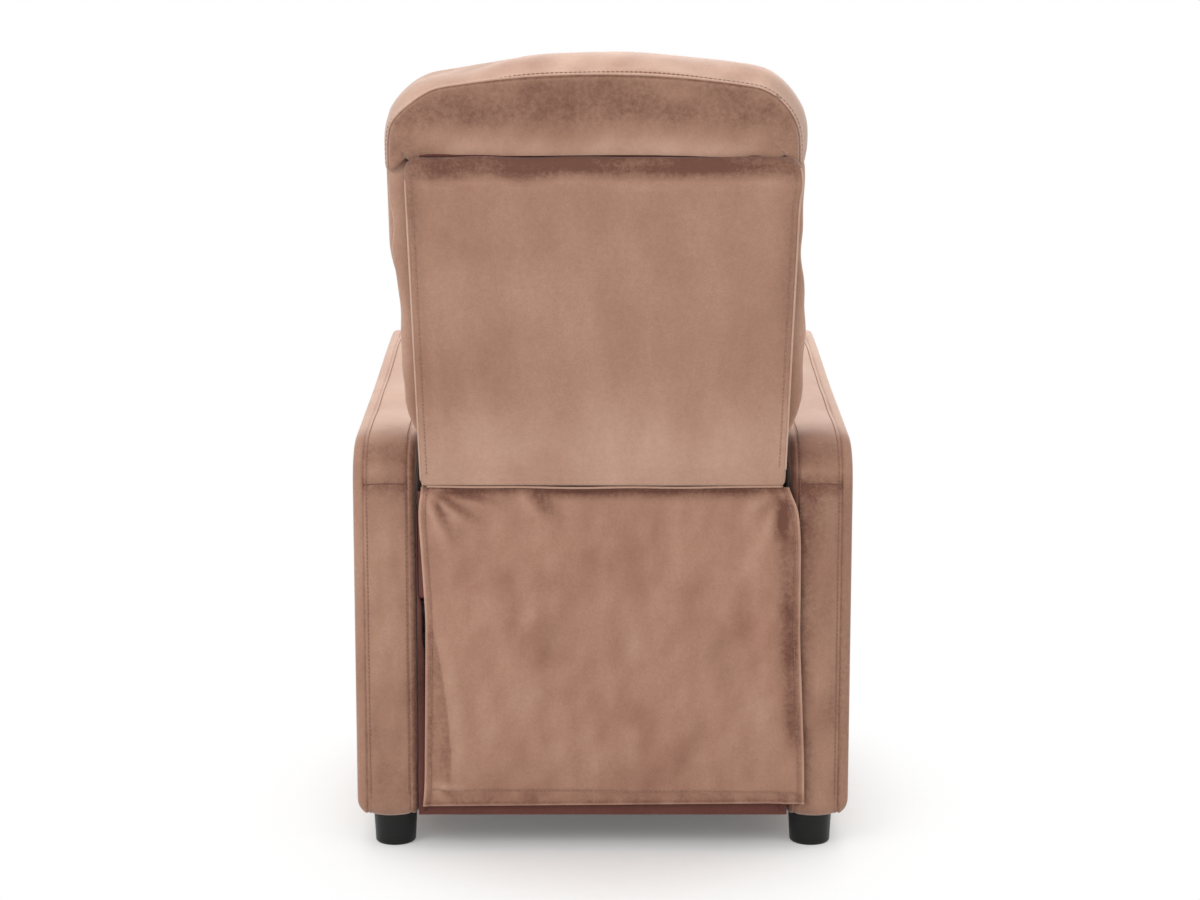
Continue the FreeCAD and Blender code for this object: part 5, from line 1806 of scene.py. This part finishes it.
    def _stitches(self, grid: Array, side: Array) -> Piece:
        """Sews the side hems and the lower hem.

        Args:
            grid: the outer face's points, by column and row.
            side: each point's distance from the nearer side.

        Returns:
            The stitches.
        """
        n, m = side.shape
        sewing = Sewing(self.maker)
        outward, lift = np.array([[0.0, 1.0, 0.0]]), np.array([0.0, 0.0003, 0.0])
        for columns in (range(1, n // 2), range(n // 2, n - 1)):
            nearest = np.argmin(np.abs(side[columns] - self.side_hem), axis=0) + columns[0]
            path = grid[nearest, np.arange(m)][2:]
            sewing.stitch(path + lift, np.repeat(outward, len(path), 0))
        line = self.hem - self.hem_drop * np.arange(n) / n
        row = np.argmin(np.abs(grid[:, :, 2] - line[:, None]), axis=1)
        hem = grid[np.arange(n), row]
        hem[:, 2] = self.hem - self.hem_drop * np.linspace(0, 1, n)
        sewing.stitch(hem[4:-4] + lift, np.repeat(outward, n - 8, 0))
        return sewing.finish("rear_flap_stitches", None, self.maker.finishes.velvet, painted_shading_and_nap=-0.22)

    def _flap_gap_shade(self) -> Piece:
        """Builds the dark sheet beside the flap's left side, in the shade of the arm; its dark velvet is
        painted shade that closes the gap.

        Returns:
            The piece.
        """
        counts = (6, 50)
        across, heights = np.linspace(0, 1, counts[0]), np.linspace(*self.gap_shade_heights, counts[1])
        u, z = (g.ravel() for g in np.meshgrid(across, heights, indexing="ij"))
        start = self.edge(z, self.LEFT) - 0.004
        x = self.gap_shade_inner + (start - self.gap_shade_inner) * u
        y = self.gap_shade_out + 0.0040 * u**2 + 0.0006 * ripple(0.05, 78, x, z)
        outer, painted_shading_and_nap = np.column_stack([x, y, z]), np.full(2 * len(x), 0.25)
        return self._layers(
            "rear_flap_gap_shade", outer, counts, self.gap_shade_thick, self.maker.finishes.painted_shade_velvet, painted_shading_and_nap
        )

    def _strip(self) -> None:
        """Builds the thin folded strip that sags along the top of the flap; it is painted lighter, a
        painted highlight on its rolled edge.
        """
        off = np.linspace(self.strip_half, -self.strip_half, 80)
        x = off + self.strip_middle
        sag = 0.0020 * (1 - (off / self.strip_half) ** 2) * (0.75 + 0.25 * np.sin(x * 42))
        path = np.column_stack([x, np.full_like(x, self.strip_out), self.strip_height - sag])
        sewing = Sewing(self.maker)
        sewing.pipe(path, self.strip_radius)
        sewing.finish("rear_panel_turned_strip", Body.BACKREST, self.maker.finishes.velvet, painted_shading_and_nap=0.45)


@dataclass
class Seat:
    """The seat: a deep crowned cushion with boxed ends, a pad under its front edge and a tongue behind."""

    maker: Maker
    half: float = 0.2355
    rear: float = 0.170
    front: float = 0.650
    low: float = 0.3876
    high: float = 0.4545
    pad_low: float = 0.352
    pad_rear: float = 0.6126
    pad_gap: float = 0.0006
    tongue_half: float = 0.194
    tongue_near: float = 0.174
    tongue_far: float = 0.112
    tongue_low: float = 0.3885
    tongue_near_top: float = 0.4020
    tongue_far_top: float = 0.3960
    radii: Radii = (0.012, 0.020, 0.036, 0.026)
    pad_radii: Radii = (0.004, 0.013, 0.008, 0.004)
    tongue_radii: Radii = (0.003, 0.002, 0.002, 0.003)
    steps: Steps = (50, 12)
    seam: int = 4
    stitched: int = 6

    ENDS = (
        (0.020, 0.0), (0.012, 0.0012), (0.006, 0.0050), (0.0020, 0.0110), (0.0022, 0.0145),
        (-0.0004, 0.0180), (-0.001, 0.027),
    )
    PAD_ENDS = ((0.010, 0.0), (0.005, 0.0015), (0.0015, 0.005), (0.0, 0.010))
    TONGUE_ENDS = ((0.003, 0.0), (0.001, 0.0010), (0.0, 0.003))
    # Creases at the corners: where each starts and ends.
    CREASES = (
        ((0.60, 0.20), (0.50, 0.12)),
        ((0.60, -0.20), (0.49, -0.13)),
        ((0.22, 0.2), (0.32, 0.13)),
        ((0.22, -0.2), (0.31, -0.14)),
    )

    def build(self) -> None:
        """Builds the cushion, its stitches, the front pad and the tongue."""
        n, m = self.steps
        outline = Outline.box((self.rear, self.low), (self.front, self.high), self.radii, self.steps)
        skin = Skin(outline, roll_sections(self.half, self.ENDS, 42))
        d, z, x = skin.points.T.copy()
        to_z = skin.points[:, 1]
        upper = rise(z, self.low + 0.01, self.high - 0.02)
        along = np.clip((d - self.rear) / (self.front - self.rear), 0, 1)
        to_z += upper * 0.010 * (1 - (x / self.half) ** 2) * np.sin(math.pi * along) ** 0.7
        to_z += upper * 0.0028 * ripple(0.15, 81, d, x)
        for start, end in self.CREASES:
            to_z -= upper * 0.0035 * fold(d, x, start, end, 0.012)
        seams = np.isin(skin.loop_of, (self.seam, skin.rings - 1 - self.seam))
        # Random patches of the pile, and painted shade in the seams.
        skin.painted_shading_and_nap = 0.14 * ripple(0.16, 83, skin.local) - 0.5 * seams
        skin.place(from_rear)
        held = np.where((z < self.low + 0.02) | seams, 1.0, 0.0)
        skin.puff(held, pressure=2.4, furthest=0.006)
        points, out = self.maker.soft_piece(
            "velvet_seat_cushion", skin, Body.SEAT, "seat_cushion", fill=0.8
        )
        sewing = Sewing(self.maker)
        for loop in (self.stitched, skin.rings - 1 - self.stitched):
            row = skin.row(loop, n, 2 * (n + m))
            sewing.stitch(points[row], out[row])
        sewing.finish("seat_stitches", Body.SEAT, self.maker.finishes.thread)
        self._pad()
        self._tongue()

    def _pad(self) -> None:
        """Builds the narrow pad that closes the seat's front below the cushion."""
        top = self.low - self.pad_gap
        outline = Outline.box((self.pad_rear, self.pad_low), (self.front, top), self.pad_radii, (10, 8))
        skin = Skin(outline, roll_sections(self.half, self.PAD_ENDS, 40))
        d, z, x = skin.points.T.copy()
        skin.points[:, 0] += rise(d, 0.63, 0.65) * 0.0012 * ripple(0.06, 91, x, z)
        # Painted a little darker: painted shade under the cushion's front edge, with random patches.
        skin.painted_shading_and_nap = 0.2 * ripple(0.1, 93, skin.local) - 0.2
        skin.place(from_rear)
        self.maker.soft_piece("velvet_seat_front_pad", skin, Body.SEAT, "seat_front_pad", fill=0.8)

    def _tongue(self) -> None:
        """Builds the cloth tongue that closes the gap behind the cushion, under the back."""
        near, far = self.tongue_near, self.tongue_far
        corners = [(far, self.tongue_low), (near, self.tongue_low)]
        corners += [(near, self.tongue_near_top), (far, self.tongue_far_top)]
        outline = Outline(corners, self.tongue_radii, (16, 4))
        skin = Skin(outline, roll_sections(self.tongue_half, self.TONGUE_ENDS, 40))
        d, _, x = skin.points.T.copy()
        behind = np.clip((near - d) / (near - far), 0, 1)
        skin.points[:, 1] += behind * 0.0015 * ripple(0.09, 95, x, d)
        # Painted darker further behind the cushion, as painted shade, with random patches.
        skin.painted_shading_and_nap = -0.2 - 0.3 * behind + 0.15 * ripple(0.08, 96, skin.local)
        skin.place(from_rear)
        self.maker.skin_piece("seat_tongue", skin, Body.SEAT)


@dataclass
class Footrest:
    """The footrest pad: a boxed cushion on a board, sewn across in the middle."""

    maker: Maker
    half: float = 0.235
    low: float = 0.075
    high: float = 0.345
    rear: float = 0.5988
    front: float = 0.6460
    radii: Radii = (0.022, 0.022, 0.022, 0.022)
    steps: Steps = (56, 34)
    crown: float = 0.0040
    channel_depth: float = 0.010
    channel_half: float = 0.006
    seam: int = 7
    piping_radius: float = 0.0018

    SECTIONS = (
        (0.0120, 0.0000), (0.0040, 0.0004), (0.0006, 0.0040), (0.0000, 0.0100), (-0.0010, 0.0180),
        (0.0000, 0.0260), (0.0020, 0.0310), (0.0034, 0.0330), (0.0036, 0.0355), (0.0075, 0.0400),
        (0.0140, 0.0440), (0.0230, 0.0465), (0.0330, 0.0474),
    )

    def build(self) -> None:
        """Builds the pad with a sewn channel, blown up as cloth."""
        outline = Outline.box((-self.half, self.low), (self.half, self.high), self.radii, self.steps)
        skin = Skin(outline, [(i, self.rear + a) for i, a in self.SECTIONS])
        skin.swell(Skin.LAST_END, self.crown)
        x, z, d = skin.points.T.copy()
        to_d = skin.points[:, 2]
        face = rise(d, self.front - 0.012, self.front - 0.002)
        middle = 0.5 * (self.low + self.high)
        to_d -= face * self.channel_depth * hump(z, middle, 0.007) * (1 - rise(np.abs(x), 0.19, 0.225))
        to_d += face * 0.0016 * ripple(0.10, 95, x, z)
        sewn = skin.loop_of == self.seam
        # Random patches of the pile, and painted shade in the sewn channel and along the seam.
        skin.painted_shading_and_nap = 0.22 * ripple(0.13, 97, skin.local)
        skin.painted_shading_and_nap -= 0.35 * face * hump(z, middle, self.channel_half) + 0.5 * sewn
        skin.place(lambda x, z, d: from_rear(d, z, x))
        held = np.where((d < self.rear + 0.012) | sewn, 1.0, 0.0)
        channel = (np.abs(z - middle) < self.channel_half) * (np.abs(x) < 0.2)
        held = np.maximum(held, face * channel)
        skin.puff(held, pressure=2.0, furthest=0.006)
        points, out = self.maker.soft_piece(
            "velvet_footrest", skin, Body.FOOTREST, "footrest_cushion", fill=0.8
        )
        piping, row = Sewing(self.maker), skin.row(self.seam)
        piping.pipe(points[row] + out[row] * 0.0006, self.piping_radius, closed=True)
        # The piping is painted a little lighter: a painted highlight along it.
        piping.finish("footrest_piping", Body.FOOTREST, self.maker.finishes.velvet, painted_shading_and_nap=0.2)


@dataclass
class Frame:
    """The rigid pieces, whose CAD shapes are kept and finished by their slots."""

    finishes: Finishes

    def dress(self) -> None:
        """Gives each shown CAD node the finish of its slot; the rear rail gets the darker velvet of painted
        shade.
        """
        slots = {part["node"]: part["material_slot"] for part in frame["record"]["subparts"]}
        for name, obj in frame["nodes"].items():
            if obj.hide_render:
                continue
            finish = self.finishes.by_slot[slots[name]]
            if name == "rear_rail":
                finish = self.finishes.painted_shade_velvet
            obj.data.materials.clear()
            obj.data.materials.append(finish)
            LOG.info("%s: %s", name, finish.name)


@dataclass
class Studio:
    """A pale floor, soft light and the photograph's camera."""

    lens: float = 70.0
    sensor: float = 36.0
    eye: tuple[float, float, float] = (0.0036, 3.2226, 0.968)
    tilt: float = 8.35
    sky: float = 0.62
    floor_half: float = 6.0
    floor_steps: int = 24

    # Softboxes: name, place, aim, side in metres and power in watts.
    LAMPS = (
        ("overhead_softbox", (0.1, -0.3, 2.9), (0.0, 0.05, 0.5), 2.4, 46.0),
        ("key_softbox", (2.0, 2.6, 2.3), (0.0, 0.2, 0.55), 1.8, 40.0),
        ("fill_softbox", (-2.4, 2.2, 1.5), (0.0, 0.2, 0.5), 1.8, 12.0),
        ("front_softbox", (-0.6, -3.0, 2.0), (0.0, 0.0, 0.5), 1.8, 26.0),
    )

    def build(self) -> None:
        """Builds the floor, the world, the lights and the camera."""
        self._floor()
        self._world()
        for name, place, aim, size, power in self.LAMPS:
            light = bpy.data.lights.new(name, "AREA")
            light.shape, light.size, light.energy = "SQUARE", size, power
            lamp = self._show(name, light)
            lamp.location = place
            lamp.rotation_euler = (Vector(aim) - Vector(place)).to_track_quat("-Z", "Y").to_euler()
        camera = bpy.data.cameras.new("camera")
        camera.lens, camera.sensor_width = self.lens, self.sensor
        eye = self._show("camera", camera)
        eye.location = self.eye
        eye.rotation_euler = (math.radians(90.0 - self.tilt), 0.0, math.pi)
        bpy.context.scene.camera = eye
        bpy.context.scene.view_settings.view_transform = "Standard"

    @staticmethod
    def _show(name: str, data: bpy.types.ID) -> Piece:
        """Puts a lamp, a camera or a mesh in the scene.

        Args:
            name: the object's name.
            data: what it shows.

        Returns:
            The object.
        """
        obj = bpy.data.objects.new(name, data)
        bpy.context.collection.objects.link(obj)
        return obj

    def _floor(self) -> None:
        """Builds the floor, white far away, with the chair's shadow near it."""
        n = self.floor_steps + 1
        line = np.linspace(-self.floor_half, self.floor_half, n).tolist()
        points = [(x, y, 0.0) for x in line for y in line]
        mesh = bpy.data.meshes.new("floor")
        mesh.from_pydata(points, [], quads(np.arange(n * n).reshape(n, n)))
        s = Shader(bpy.data.materials.new("pale_floor"))
        place = s.place()
        near = s.stretched(place, 1.12, 0.92, 0.0)
        far = s.node("ShaderNodeVectorMath", {"operation": "LENGTH"}, {0: near}, "Value")
        tone = s.mix(s.noise(place, 30.0, detail=3.0), srgb(247, 247, 246), srgb(252, 252, 251))
        matt = s.node("ShaderNodeBsdfDiffuse", {}, {"Color": tone})
        glow = s.node("ShaderNodeEmission", {}, {"Color": WHITE, "Strength": 1.0})
        share = s.direct() * (0.12 + 0.88 * far.ramp(0.27, 0.60))
        s.close(s.node("ShaderNodeMixShader", {}, {0: share, 1: matt, 2: glow}))
        mesh.materials.append(s.owner)
        self._show("floor", mesh)

    def _world(self) -> None:
        """Lights the chair evenly, and shows white behind it."""
        world = bpy.data.worlds.new("studio")
        bpy.context.scene.world = world
        s = Shader(world, "ShaderNodeOutputWorld")
        dim, white = (
            s.node("ShaderNodeBackground", {}, {"Color": WHITE, "Strength": strength})
            for strength in (self.sky, 1.0)
        )
        s.close(s.node("ShaderNodeMixShader", {}, {0: s.direct(), 1: dim, 2: white}))


def main() -> None:
    """Builds the chair piece by piece and reports each."""
    logging.basicConfig(level=logging.INFO, format="%(name)s: %(message)s", stream=sys.stdout)
    finishes = Finishes()
    maker = Maker(finishes)
    Studio().build()
    for assembly in (
        Arms(maker),
        RearPanel(maker),
        HeadCushion(maker),
        Roll(maker, "lumbar_cushion", low=0.095, high=0.268, half=0.236, depth=0.150, seed=101),
        Roll(maker, "middle_cushion", low=0.271, high=0.450, half=0.256, depth=0.142, seed=111),
        Roll(
            maker, "shoulder_cushion", low=0.453, high=0.628, half=0.256, depth=0.138, seed=121,
            lean_left=0.0120,
        ),
        SideBoxing(maker),
        RearFlap(maker),
        Seat(maker),
        Footrest(maker),
    ):
        assembly.build()
    Frame(finishes).dress()


if __name__ == "__main__":
    main()
